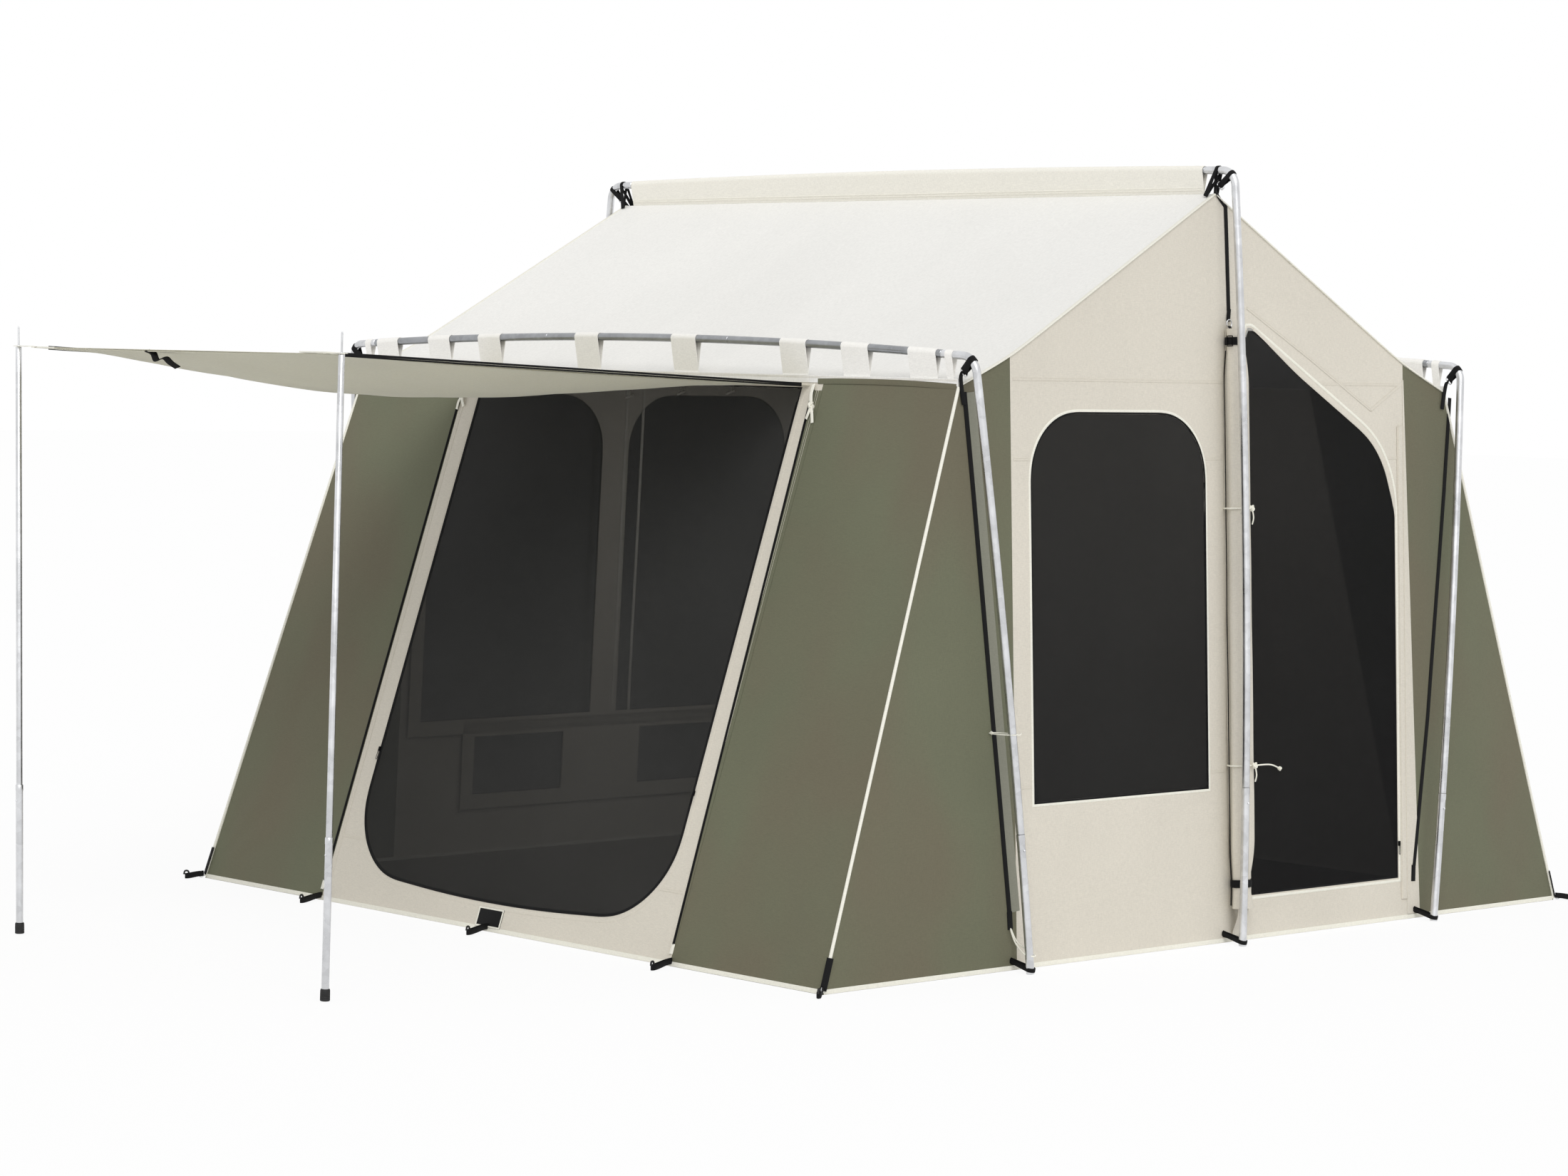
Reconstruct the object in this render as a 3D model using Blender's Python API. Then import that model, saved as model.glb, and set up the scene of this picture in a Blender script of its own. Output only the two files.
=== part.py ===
"""Canvas wall tent hung under three steel hoops, with its front door flap propped as a porch.

Metres, +Z up. X runs along the ridge, the porch is towards -Y, and the origin is on the
ground under the middle of the floor. The right gable (+X) has a window and a side door.
"""
import math

import bmesh
import bpy
from mathutils import Vector

# Canvas body
base_half_length = 1.56
base_half_width = 1.775
ridge_half_length = 1.442
ridge_height = 2.402
eave_half_width = 1.178
eave_height = 1.777
break_half_width = 0.955
break_rise = 0.092
break_height = eave_height + break_rise
roof_sag = 0.035
roof_overhang = 0.005
roof_flat_margin = 0.03
canvas = 0.002
netting = 0.001
groundsheet = 0.002

# Clearances
seam = 0.0003
hinge_clearance = 0.0008
running_clearance = 0.0003

# Hoop tubes
tube_radius = 0.0127
tube_wall = 0.0016
spigot_length = 0.08
elbow_radius = 0.055
foot_plug = 0.02
hoop_foot_gap = 0.085
hoop_foot_half_length = base_half_length + hoop_foot_gap
bar_middle_half_length = 0.45
bar_outer_setback = 0.037
bar_outer_half_length = ridge_half_length - bar_outer_setback

# Ridge hoop
ridge_bar_gap = 0.073
ridge_bar_height = ridge_height + ridge_bar_gap
ridge_bar_rise = 0.014
ridge_corner_gap = 0.083
ridge_corner_half_length = ridge_half_length + ridge_corner_gap
ridge_leg_bow = 0.03
ridge_leg_lower_length = 0.51

# Eave hoops
eave_bar_gap = 0.088
eave_bar_height = eave_height + eave_bar_gap
eave_bar_rise = 0.042
eave_corner_gap = 0.098
eave_corner_half_length = ridge_half_length + eave_corner_gap
eave_foot_half_width = 0.985
eave_leg_bow = 0.015
eave_leg_lower_length = 0.43

# Cloth that goes over the bars
sling_cloth = 0.002
fin_half_thickness = 0.0012
fin_height = 0.01
pocket_floor = 0.02
pocket_start_angle = -25.0
pocket_end_angle = 205.0
sleeve_setback = 0.005
sleeve_half_length = bar_outer_half_length - sleeve_setback
sleeve_fin_below_ridge = 0.006
eave_band_height = 0.023
eave_band_half_thickness = 0.0015
loop_width = 0.118
corner_loop_width = 0.03
loop_places = (0.242, 0.757, 1.034, 1.327)
corner_loop_setback = 0.002
corner_loop_place = ridge_half_length - corner_loop_setback

# Front door
door_panel_half_width = 0.885
door_border = 0.095
door_half_width = door_panel_half_width - door_border
door_head_drop = 0.022
door_top = eave_height - door_head_drop
door_bottom = 0.088
door_corner_radius = 0.26
door_bottom_bow = 0.045
patch_half_width = 0.062
patch_bottom = 0.02
patch_height = 0.045
patch_thickness = 0.0015

# Right gable window and side door
window_near = 0.065
window_border = 0.09
window_far = break_half_width - window_border
window_bottom = 0.505
window_head_drop = 0.082
window_top = eave_height - window_head_drop
window_corner_radius = 0.20
side_door_near = 0.145
side_door_border = 0.05
side_door_far = break_half_width - side_door_border
side_door_bottom = 0.142
side_door_head_drop = 0.409
side_door_apex_height = ridge_height - side_door_head_drop
side_door_corner_radius = 0.33
side_door_apex_radius = 0.02
side_screen_apex_radius = 0.03

# Left gable vents, under its two windows
vent_near = 0.19
vent_far = 0.61
vent_bottom = 0.225
vent_top = 0.435
net_margin = 0.03

# Side door flap, rolled and tied beside the ridge leg
roll_centre = 0.058
roll_half_width = 0.05
roll_half_depth = 0.038
roll_bottom = 0.11
roll_head_drop = 0.023
roll_top = side_door_apex_height - roll_head_drop
roll_fold_share = 0.09
roll_fold_count = 5
roll_twist = 2.4
roll_sides = 20
lower_tie_rise = 0.08
upper_tie_drop = 0.04
tie_heights = (roll_bottom + lower_tie_rise, roll_top - upper_tie_drop)
tie_width = 0.025
tie_webbing = 0.002
tie_clearance = 0.0006
tie_waist_share = 0.74
tie_waist_reach = 0.12

# Porch flap and its poles
porch_reach = 1.82
porch_hinge_drop = 0.012
porch_hinge_height = eave_height - porch_hinge_drop
porch_rise = 0.07
porch_root_inset = 0.055
porch_root_half_width = door_panel_half_width - porch_root_inset
porch_tip_inset = 0.12
porch_tip_half_width = door_panel_half_width - porch_tip_inset
porch_sag = 0.08
tab_reach = 0.073
pole_head_half_span = porch_tip_half_width + tab_reach
pole_lean = 0.038
pole_foot_half_span = pole_head_half_span - pole_lean
pole_head_height = porch_hinge_height + porch_rise
pole_spike_length = 0.065
pole_spike_radius = 0.003
pole_upper_radius = 0.0095
pole_wall = 0.0012
pole_upper_insert = 0.11
pole_lower_length = 0.468
rubber_foot_radius = 0.0145
rubber_foot_height = 0.035
rubber_foot_floor = 0.006
tab_half_width = 0.013
tab_webbing = 0.002
tab_past_pole = 0.012

# Zip sliders
slider_width = 0.008
slider_length = 0.016
slider_height = 0.006
pull_length = 0.03
pull_thickness = 0.0015
front_slider_height = 0.50
side_slider_height = 0.25

# Facets
tube_sides = 10
elbow_steps = 6
arc_steps = 7
cloth_steps = 10


class Route:
    """A polyline that tubes follow, measured by its length from the first point."""

    def __init__(self, points, across):
        self.points = [Vector(point) for point in points]
        self.across = Vector(across).normalized()
        self.stations = [0.0]
        for first, second in zip(self.points, self.points[1:]):
            self.stations.append(self.stations[-1] + (second - first).length)
        self.length = self.stations[-1]

    def direction(self, index):
        return (self.points[index + 1] - self.points[index]).normalized()

    def at(self, station):
        """The point and the mean direction at a station."""
        last = len(self.points) - 2
        for index in range(last + 1):
            start, end = self.stations[index], self.stations[index + 1]
            if station <= end or index == last:
                share = (station - start) / (end - start)
                point = self.points[index].lerp(self.points[index + 1], share)
                direction = self.direction(index)
                if math.isclose(share, 1.0) and index < last:
                    direction = (direction + self.direction(index + 1)).normalized()
                return point, direction

    def between(self, start, end):
        """Stations of the route's own corners strictly between two stations."""
        low, high = min(start, end), max(start, end)
        inside = [s for s in self.stations if low < s < high and not math.isclose(s, low)]
        inside = [s for s in inside if not math.isclose(s, high)]
        return inside if start < end else inside[::-1]


def clear_scene():
    for item in list(bpy.data.objects):
        bpy.data.objects.remove(item, do_unlink=True)


def make_material(name, color, roughness, metallic=0.0):
    material = bpy.data.materials.new(name)
    material.use_nodes = True
    shader = material.node_tree.nodes["Principled BSDF"]
    shader.inputs["Base Color"].default_value = (*color, 1.0)
    shader.inputs["Roughness"].default_value = roughness
    shader.inputs["Metallic"].default_value = metallic
    return material


def add_object(name, bm, look, origin=(0.0, 0.0, 0.0), smooth=False):
    """Turn a bmesh in world space into an object whose origin is at the given point."""
    bmesh.ops.recalc_face_normals(bm, faces=bm.faces)
    bmesh.ops.translate(bm, verts=bm.verts, vec=-Vector(origin))
    mesh = bpy.data.meshes.new(name)
    bm.to_mesh(mesh)
    bm.free()
    if smooth:
        mesh.shade_smooth()
        mesh.set_sharp_from_angle(angle=math.radians(40))
    mesh.materials.append(look)
    item = bpy.data.objects.new(name, mesh)
    item.location = origin
    bpy.context.collection.objects.link(item)
    return item


def meet(first, second, third):
    """The point where three planes meet, each a point and a normal."""
    a, b, c = first[1], second[1], third[1]
    total = b.cross(c) * first[0].dot(a) + c.cross(a) * second[0].dot(b) + a.cross(b) * third[0].dot(c)
    return total / a.dot(b.cross(c))


def plane(point, normal, inset=0.0):
    """A plane as a point and a unit normal, moved back along the normal by the inset."""
    unit = Vector(normal).normalized()
    return Vector(point) - unit * inset, unit


def bridge_loops(bm, first, second, skip=None):
    count = len(first)
    for index in range(count):
        after = (index + 1) % count
        if index != skip:
            bm.faces.new((first[index], first[after], second[after], second[index]))


def add_slab(bm, upper_loops, lower_loops):
    """A flat slab from matching loops: the outline first, then one pair for each hole."""
    sides = []
    for loops in (upper_loops, lower_loops):
        rings = [[bm.verts.new(point) for point in loop] for loop in loops]
        edges = []
        for ring in rings:
            edges += [bm.edges.new((ring[i - 1], ring[i])) for i in range(len(ring))]
        bmesh.ops.triangle_fill(bm, use_beauty=True, edges=edges)
        sides.append(rings)
    for upper, lower in zip(*sides):
        bridge_loops(bm, upper, lower)


def make_panel(name, look, face, sides, thickness, holes=(), origin=(0.0, 0.0, 0.0)):
    """A panel under its outer face, bounded by side planes in order round its outline."""
    outer, normal = face
    inner = (outer - normal * thickness, normal)
    loops = []
    for base in (face, inner):
        loops.append([[meet(base, sides[i - 1], sides[i]) for i in range(len(sides))]])
    for hole in holes:
        loops[0].append(list(hole))
        loops[1].append([point - normal * thickness for point in hole])
    bm = bmesh.new()
    add_slab(bm, *loops)
    return add_object(name, bm, look, origin)


def make_plate(name, look, outline, normal, depth, thickness, origin=(0.0, 0.0, 0.0), holes=()):
    """A plate with its outline on a face, sunk under that face by a depth."""
    upper = [[point - normal * depth for point in loop] for loop in (outline, *holes)]
    lower = [[point - normal * thickness for point in loop] for loop in upper]
    bm = bmesh.new()
    add_slab(bm, upper, lower)
    return add_object(name, bm, look, origin)


def make_sheet(name, look, surface, columns, rows, drop, origin=(0.0, 0.0, 0.0)):
    """A cloth sheet over a grid of shares, with its underside a drop below its top."""
    bm = bmesh.new()
    layers = []
    for lower in (0.0, drop):
        offset = Vector((0.0, 0.0, -lower))
        layers.append([[bm.verts.new(surface(u, v) + offset) for u in columns] for v in rows])
    for grid in layers:
        for lower_row, upper_row in zip(grid, grid[1:]):
            for i in range(len(columns) - 1):
                bm.faces.new((lower_row[i], lower_row[i + 1], upper_row[i + 1], upper_row[i]))
    rims = []
    for grid in layers:
        right = [row[-1] for row in grid[1:-1]]
        left = [row[0] for row in grid[1:-1]]
        rims.append(grid[0] + right + grid[-1][::-1] + left[::-1])
    bridge_loops(bm, *rims)
    return add_object(name, bm, look, origin, smooth=True)


def make_turned(name, look, route, profile, capped=False, level=None, origin=(0.0, 0.0, 0.0)):
    """Sweep rings along a route. The profile lists stations and radii in order.

    A closed profile gives a tube with open ends, and a capped one a tube with a closed end.
    Rings at the level's station are cut flat on the ground.
    """
    bm = bmesh.new()
    steps = []
    count = len(profile)
    for index, (station, radius) in enumerate(profile):
        steps.append((station, radius))
        if capped and index == count - 1:
            break
        after, radius_after = profile[(index + 1) % count]
        for middle in route.between(station, after):
            share = (middle - station) / (after - station)
            steps.append((middle, radius + (radius_after - radius) * share))
    rings = []
    for station, radius in steps:
        point, direction = route.at(station)
        over = direction.cross(route.across).normalized()
        ring = []
        for side in range(tube_sides):
            angle = 2.0 * math.pi * side / tube_sides
            spoke = route.across * math.cos(angle) + over * math.sin(angle)
            place = point + spoke * radius
            if level is not None and math.isclose(station, level):
                place -= direction * (place.z / direction.z)
            ring.append(bm.verts.new(place))
        rings.append(ring)
    for first, second in zip(rings, rings[1:]):
        bridge_loops(bm, first, second)
    if capped:
        bm.faces.new(rings[0])
        bm.faces.new(rings[-1])
    else:
        bridge_loops(bm, rings[-1], rings[0])
    return add_object(name, bm, look, origin, smooth=True)


def arc(centre, radius, start, end, steps):
    """Points of an arc in a plane, with angles in degrees."""
    points = []
    for step in range(steps + 1):
        angle = math.radians(start + (end - start) * step / steps)
        points.append((centre[0] + radius * math.cos(angle), centre[1] + radius * math.sin(angle)))
    return points


def fillet(before, corner, after, radius, steps):
    """Points that round the corner between two straight runs in a plane."""
    before, corner, after = Vector(before), Vector(corner), Vector(after)
    inward, outward = (before - corner).normalized(), (after - corner).normalized()
    half_turn = inward.angle(outward) / 2.0
    centre = corner + (inward + outward).normalized() * radius / math.sin(half_turn)
    reach = radius / math.tan(half_turn)
    first, last = corner + inward * reach - centre, corner + outward * reach - centre
    sweep = first.angle(last)
    points = []
    for step in range(steps + 1):
        share = step / steps
        weight_first = math.sin((1.0 - share) * sweep) / math.sin(sweep)
        weight_last = math.sin(share * sweep) / math.sin(sweep)
        points.append(tuple(centre + first * weight_first + last * weight_last))
    return points


# Faces of the canvas body
wall_slope = (base_half_width - eave_half_width) / eave_height
gable_slope = (base_half_length - ridge_half_length) / ridge_height
roof_pitch = math.atan2(ridge_height - break_height, break_half_width)
roof_drop = canvas / math.cos(roof_pitch)
eave_run = eave_half_width - break_half_width
eave_pitch = math.atan2(break_height - eave_height, eave_run)
ground = plane((0.0, 0.0, 0.0), (0.0, 0.0, -1.0))
wall_top = plane((0.0, 0.0, eave_height - roof_drop), (0.0, 0.0, 1.0), seam)


def wall_face(side):
    """Outer face of the front wall (-1) or the back wall (+1)."""
    return plane((0.0, side * base_half_width, 0.0), (0.0, side, wall_slope))


def gable_face(side):
    return plane((side * base_half_length, 0.0, 0.0), (side, 0.0, gable_slope))


def wall_point(side, x, z):
    return Vector((x, side * (base_half_width - z * wall_slope), z))


def gable_point(side, y, z):
    return Vector((side * (base_half_length - z * gable_slope), y, z))


def corner_mitre(own, other, corner):
    """Half of the mitred seam where two faces meet at a corner of the base."""
    return plane(corner, other[1] - own[1], seam / 2.0)


def under_roof(side, shallow=False):
    """The underside of a roof slope: the main run, or the shallow run at the eave."""
    pitch = eave_pitch if shallow else roof_pitch
    start = (0.0, side * break_half_width, break_height - roof_drop)
    return plane(start, (0.0, side * math.sin(pitch), math.cos(pitch)), seam)


def roof_line(reach):
    """Height of the roof at a distance from the ridge plane."""
    if reach <= break_half_width:
        return ridge_height - reach * math.tan(roof_pitch)
    return break_height - (reach - break_half_width) * math.tan(eave_pitch)


def rounded_window(near, far, bottom, top, radius, inset=0.0):
    """A window outline with square bottom corners and round top corners."""
    low, high = near + inset, far - inset
    curve = radius - inset
    centre_height = top - radius
    outline = [(low, bottom + inset), (high, bottom + inset)]
    outline += arc((far - radius, centre_height), curve, 0.0, 90.0, arc_steps)
    outline += arc((near + radius, centre_height), curve, 90.0, 180.0, arc_steps)
    return outline


def door_outline(inset=0.0, head_inset=None):
    """The front door: straight sides and top, round bottom corners and a bowed sill."""
    head = door_top - (inset if head_inset is None else head_inset)
    radius = door_corner_radius - inset
    centre_across = door_half_width - door_corner_radius
    centre_height = door_bottom + door_corner_radius
    flat = [(door_half_width - inset, head), (-door_half_width + inset, head)]
    flat += arc((-centre_across, centre_height), radius, 180.0, 270.0, arc_steps)
    flat += [(x * centre_across, door_bottom + inset) for x in (-0.5, 0.0, 0.5)]
    flat += arc((centre_across, centre_height), radius, 270.0, 360.0, arc_steps)
    outline = []
    for x, z in flat:
        lift = door_bottom_bow * (x / door_half_width) ** 2
        fade = max(0.0, 1.0 - (z - door_bottom) / (2.0 * door_corner_radius))
        outline.append((x, z + lift * fade))
    return outline


def side_door_outline(inset=0.0, near_inset=None, apex_radius=side_door_apex_radius):
    """The side door: an upright near edge, a head that follows the roof, a round shoulder."""
    near = side_door_near + (inset if near_inset is None else near_inset)
    far = side_door_far - inset
    bottom = side_door_bottom + inset
    fall = math.tan(roof_pitch)
    head_drop = inset / math.cos(roof_pitch)

    def head(y):
        return side_door_apex_height - (y - side_door_near) * fall - head_drop

    apex, shoulder = (near, head(near)), (far, head(far))
    outline = [(near, bottom), (far, bottom)]
    outline += fillet((far, bottom), shoulder, apex, side_door_corner_radius - inset, arc_steps)
    outline += fillet(shoulder, apex, (near, bottom), apex_radius, 2)
    return outline


def on_wall(side, outline):
    return [wall_point(side, x, z) for x, z in outline]


def on_gable(side, outline, mirror=1.0):
    return [gable_point(side, mirror * y, z) for y, z in outline]


def hoop_route(side, bar_height, bar_rise, corner, bow, foot_width, head_width):
    """Centre line of a hoop, from its left foot over the bar to its right foot."""
    lean = Vector((head_width - foot_width, bar_height))
    height = lean.length
    lean /= height
    leg = []
    leg_steps = 4
    for step in range(leg_steps):
        share = step / leg_steps
        x = hoop_foot_half_length + (corner - hoop_foot_half_length) * share
        leg.append((x + bow * 4.0 * share * (1.0 - share), height * share))
    bar = []
    for place in (bar_outer_half_length, bar_middle_half_length, 0.0):
        bar.append((place, height + bar_rise * (1.0 - (place / corner) ** 2)))
    half = leg + fillet(leg[-1], (corner, height), bar[0], elbow_radius, elbow_steps) + bar
    flat = [(-x, v) for x, v in half] + half[-2::-1]
    points = [(x, side * (foot_width + v * lean[0]), v * lean[1]) for x, v in flat]
    return Route(points, (0.0, side * lean[1], -lean[0]))


def section_profile(start, end, spigot_start=False, spigot_end=False):
    """Profile of one hoop section, with a reduced spigot on the ends that plug in."""
    bore = tube_radius - tube_wall
    spigot = bore - running_clearance
    spigot_bore = spigot - tube_wall
    start, end = start + seam / 2.0, end - seam / 2.0
    profile = []
    if spigot_start:
        profile += [(start - spigot_length, spigot), (start, spigot)]
    profile += [(start, tube_radius), (end, tube_radius)]
    if spigot_end:
        profile += [(end, spigot), (end + spigot_length, spigot)]
        profile += [(end + spigot_length, spigot_bore), (end - tube_wall, spigot_bore)]
        profile.append((end - tube_wall, bore))
    else:
        profile.append((end, bore))
    if spigot_start:
        profile += [(start + tube_wall, bore), (start + tube_wall, spigot_bore)]
        profile.append((start - spigot_length, spigot_bore))
    else:
        profile.append((start, bore))
    return profile


def station_at(route, x):
    """The station where the top bar passes a place along the ridge."""
    for index, (first, second) in enumerate(zip(route.points, route.points[1:])):
        along_ridge = route.direction(index).x > 0.9
        if along_ridge and first.x <= x <= second.x:
            share = (x - first.x) / (second.x - first.x)
            return route.stations[index] + share * (second - first).length
    return 0.0


def build_hoop(name, route, lower_length, look):
    bore = tube_radius - tube_wall
    outer_left = station_at(route, -bar_outer_half_length)
    inner_left = station_at(route, -bar_middle_half_length)
    total = route.length
    bar_joints = (outer_left, inner_left, total - inner_left, total - outer_left)
    leg_joints = (lower_length, total - lower_length)
    left_foot = [(foot_plug, bore), (lower_length - seam / 2.0, bore)]
    left_foot += [(lower_length - seam / 2.0, tube_radius), (0.0, tube_radius)]
    right_foot = [(total - station, radius) for station, radius in left_foot]
    make_turned(f"{name}_leg_left_lower", look, route, left_foot, capped=True, level=0.0)
    make_turned(f"{name}_leg_right_lower", look, route, right_foot, capped=True, level=total)
    sections = (
        ("leg_left_upper", leg_joints[0], bar_joints[0], True, True),
        ("bar_left", bar_joints[0], bar_joints[1], False, True),
        ("bar_middle", bar_joints[1], bar_joints[2], False, False),
        ("bar_right", bar_joints[2], bar_joints[3], True, False),
        ("leg_right_upper", bar_joints[3], leg_joints[1], True, True),
    )
    for part, start, end, spigot_start, spigot_end in sections:
        profile = section_profile(start, end, spigot_start, spigot_end)
        make_turned(f"{name}_{part}", look, route, profile)


def add_sling(bm, bar_points, foot_y, foot_height, feet=None):
    """Cloth that passes over a bar: a pocket round the tube and a fin below it.

    Feet are pairs of vertices of the band that the fin grows out of, if it has one.
    """
    steps, start, end = arc_steps + 1, pocket_start_angle, pocket_end_angle
    bore = (tube_radius + seam) / math.cos(math.radians((end - start) / steps / 2.0))
    floor_height = foot_height + pocket_floor
    rings = []
    for number, (x, y, z) in enumerate(bar_points):
        outer = arc((y, z), bore + sling_cloth, start, end, steps)
        inner = arc((y, z), bore, start, end, steps)
        middle = foot_y + (y - foot_y) * pocket_floor / (z - foot_height)
        for thick, lift in ((-1.0, 1.0), (-1.0, 0.0), (1.0, 0.0), (1.0, 1.0)):
            outer.append((foot_y + thick * fin_half_thickness, foot_height + lift * fin_height))
            opening = seam * (1.0 + 2.0 * lift)
            inner.append((middle + thick * opening, floor_height + lift * fin_height))
        loops = [[bm.verts.new((x, *place)) for place in inner]]
        known = dict(zip((steps + 2, steps + 3), feet[number])) if feet else {}
        loops.append([known.get(i) or bm.verts.new((x, *place)) for i, place in enumerate(outer)])
        rings.append(loops)
    for first, second in zip(rings, rings[1:]):
        bridge_loops(bm, first[0], second[0])
        bridge_loops(bm, first[1], second[1], skip=steps + 2 if feet else None)
    bridge_loops(bm, *rings[0])
    bridge_loops(bm, *rings[-1])


def bar_point(route, x):
    return route.at(station_at(route, x))[0]


def spread(low, high, steps):
    return [low + (high - low) * step / steps for step in range(steps + 1)]


def build_sleeve(route, look):
    bm = bmesh.new()
    places = (-sleeve_half_length, -bar_middle_half_length, 0.0, bar_middle_half_length, sleeve_half_length)
    bar_points = [bar_point(route, x) for x in places]
    add_sling(bm, bar_points, 0.0, ridge_height - sleeve_fin_below_ridge)
    add_object("ridge_sleeve", bm, look, smooth=True)


def build_eave_band(name, side, route, look):
    """A band along the eave with the loops that hang it from the bar."""
    middle = side * (eave_half_width + seam + eave_band_half_thickness)
    bottom = eave_height - roof_drop
    top = bottom + eave_band_height
    end = base_half_length - eave_height * gable_slope
    section = [(-eave_band_half_thickness, bottom), (eave_band_half_thickness, bottom)]
    section += [(eave_band_half_thickness, top), (fin_half_thickness, top)]
    section += [(-fin_half_thickness, top), (-eave_band_half_thickness, top)]
    places = [(place, loop_width) for place in loop_places] + [(corner_loop_place, corner_loop_width)]
    loops = sorted((mirror * place - width / 2.0, mirror * place + width / 2.0)
                   for place, width in places for mirror in (-1.0, 1.0))
    bm = bmesh.new()
    rings = []
    for x in [-end] + [x for loop in loops for x in loop] + [end]:
        rings.append([bm.verts.new((x, middle + y, z)) for y, z in section])
    for index, (first, second) in enumerate(zip(rings, rings[1:])):
        bridge_loops(bm, first, second, skip=3 if index % 2 else None)
        if index % 2:
            bar_points = [bar_point(route, x) for x in loops[index // 2]]
            feet = [(ring[4], ring[3]) for ring in (first, second)]
            add_sling(bm, bar_points, middle, top, feet)
    bm.faces.new(rings[0])
    bm.faces.new(rings[-1])
    add_object(name, bm, look)


def build_roof(name, side, look):
    start = fin_half_thickness + seam
    eave = eave_half_width
    reaches = spread(start, break_half_width, 6) + spread(break_half_width, eave, 2)[1:]

    def surface(across, reach):
        height = roof_line(reach)
        edge = base_half_length - height * gable_slope + roof_overhang
        slack = edge - roof_overhang - roof_flat_margin
        x = across * edge
        if abs(across) < 1.0:
            x = across / flat_share * slack
        belly = 1.0 - min(1.0, abs(x) / slack) ** 2
        hang = math.sin(math.pi * (reach - start) / (eave - start))
        return Vector((x, side * reach, height - roof_sag * belly * hang))

    flat_share = 0.98
    columns = [-1.0] + spread(-flat_share, flat_share, cloth_steps) + [1.0]
    make_sheet(name, look, surface, columns, reaches, roof_drop)


def build_walls(olive, cream, net, black):
    for side, name in ((-1, "front"), (1, "back")):
        face = wall_face(side)
        for end, end_name in ((-1, "left"), (1, "right")):
            corner = (end * base_half_length, side * base_half_width, 0.0)
            seam_plane = plane((end * door_panel_half_width, 0.0, 0.0), (-end, 0.0, 0.0), seam / 2.0)
            sides = (ground, corner_mitre(face, gable_face(end), corner), wall_top, seam_plane)
            make_panel(f"{name}_flank_{end_name}", olive, face, sides, canvas)
        edges = [plane((end * door_panel_half_width, 0.0, 0.0), (end, 0.0, 0.0), seam / 2.0)
                 for end in (1, -1)]
        sides = (ground, edges[0], wall_top, edges[1])
        holes = [on_wall(side, door_outline())] if side == -1 else []
        make_panel(f"{name}_door_panel", cream, face, sides, canvas, holes)
    normal = wall_face(-1)[1]
    sink = (canvas - netting) / 2.0
    screen_loop = on_wall(-1, door_outline(seam, hinge_clearance))
    head = wall_point(-1, 0.0, door_top - hinge_clearance) - normal * (canvas / 2.0)
    make_plate("front_screen", net, screen_loop, normal, sink, netting, head)
    patch = [(-patch_half_width, patch_bottom), (patch_half_width, patch_bottom)]
    patch += [(x, z + patch_height) for x, z in patch[::-1]]
    make_plate("hem_patch", black, on_wall(-1, patch), normal, -patch_thickness - seam, patch_thickness)


def build_gables(olive, cream, net):
    for end, name in ((-1, "left"), (1, "right")):
        face = gable_face(end)
        for side, side_name in ((-1, "front"), (1, "back")):
            corner = (end * base_half_length, side * base_half_width, 0.0)
            seam_plane = plane((0.0, side * break_half_width, 0.0), (0.0, -side, 0.0), seam / 2.0)
            mitre = corner_mitre(face, wall_face(side), corner)
            sides = (ground, mitre, under_roof(side, shallow=True), seam_plane)
            make_panel(f"gusset_{side_name}_{name}", olive, face, sides, canvas)
        edges = [plane((0.0, side * break_half_width, 0.0), (0.0, side, 0.0), seam / 2.0)
                 for side in (1, -1)]
        sides = (ground, edges[0], under_roof(1), under_roof(-1), edges[1])
        window = rounded_window(window_near, window_far, window_bottom, window_top, window_corner_radius)
        vent = [(vent_near, vent_bottom), (vent_far, vent_bottom), (vent_far, vent_top), (vent_near, vent_top)]
        if end == 1:
            holes = [on_gable(end, window, -1.0), on_gable(end, side_door_outline())]
        else:
            holes = [on_gable(end, outline, mirror) for outline in (window, vent) for mirror in (-1.0, 1.0)]
        make_panel(f"gable_panel_{name}", cream, face, sides, canvas, holes)


def build_nets(net):
    sink = (canvas - netting) / 2.0
    right = gable_face(1)[1]
    window = rounded_window(window_near, window_far, window_bottom, window_top, window_corner_radius, seam)
    make_plate("gable_window_right", net, on_gable(1, window, -1.0), right, sink, netting)
    door = on_gable(1, side_door_outline(seam, hinge_clearance, side_screen_apex_radius))
    pivot = gable_point(1, side_door_near + hinge_clearance, side_door_bottom) - right * (canvas / 2.0)
    make_plate("side_screen", net, door, right, sink, netting, pivot)
    left = gable_face(-1)[1]
    behind = canvas + seam
    strips = (
        ("gable_windows_left", window_far + net_margin, window_bottom - net_margin, window_top + net_margin),
        ("gable_vents_left", vent_far + net_margin, vent_bottom - net_margin, vent_top + net_margin),
    )
    for name, reach, low, high in strips:
        outline = [(-reach, low), (reach, low), (reach, high), (-reach, high)]
        make_plate(name, net, on_gable(-1, outline), left, behind, netting)


def build_floor(look):
    sides = []
    for face in (wall_face(-1), gable_face(1), wall_face(1), gable_face(-1)):
        sides.append((face[0] - face[1] * (canvas + seam), face[1]))
    make_panel("groundsheet", look, ground, sides, groundsheet)


def waist_share(height):
    """How far the roll is drawn in at a height, by the nearest tie."""
    gap = min(abs(height - tie) for tie in tie_heights) - tie_width
    reach = min(1.0, max(0.0, gap / tie_waist_reach))
    return tie_waist_share + (1.0 - tie_waist_share) * math.sin(reach * math.pi / 2.0)


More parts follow.
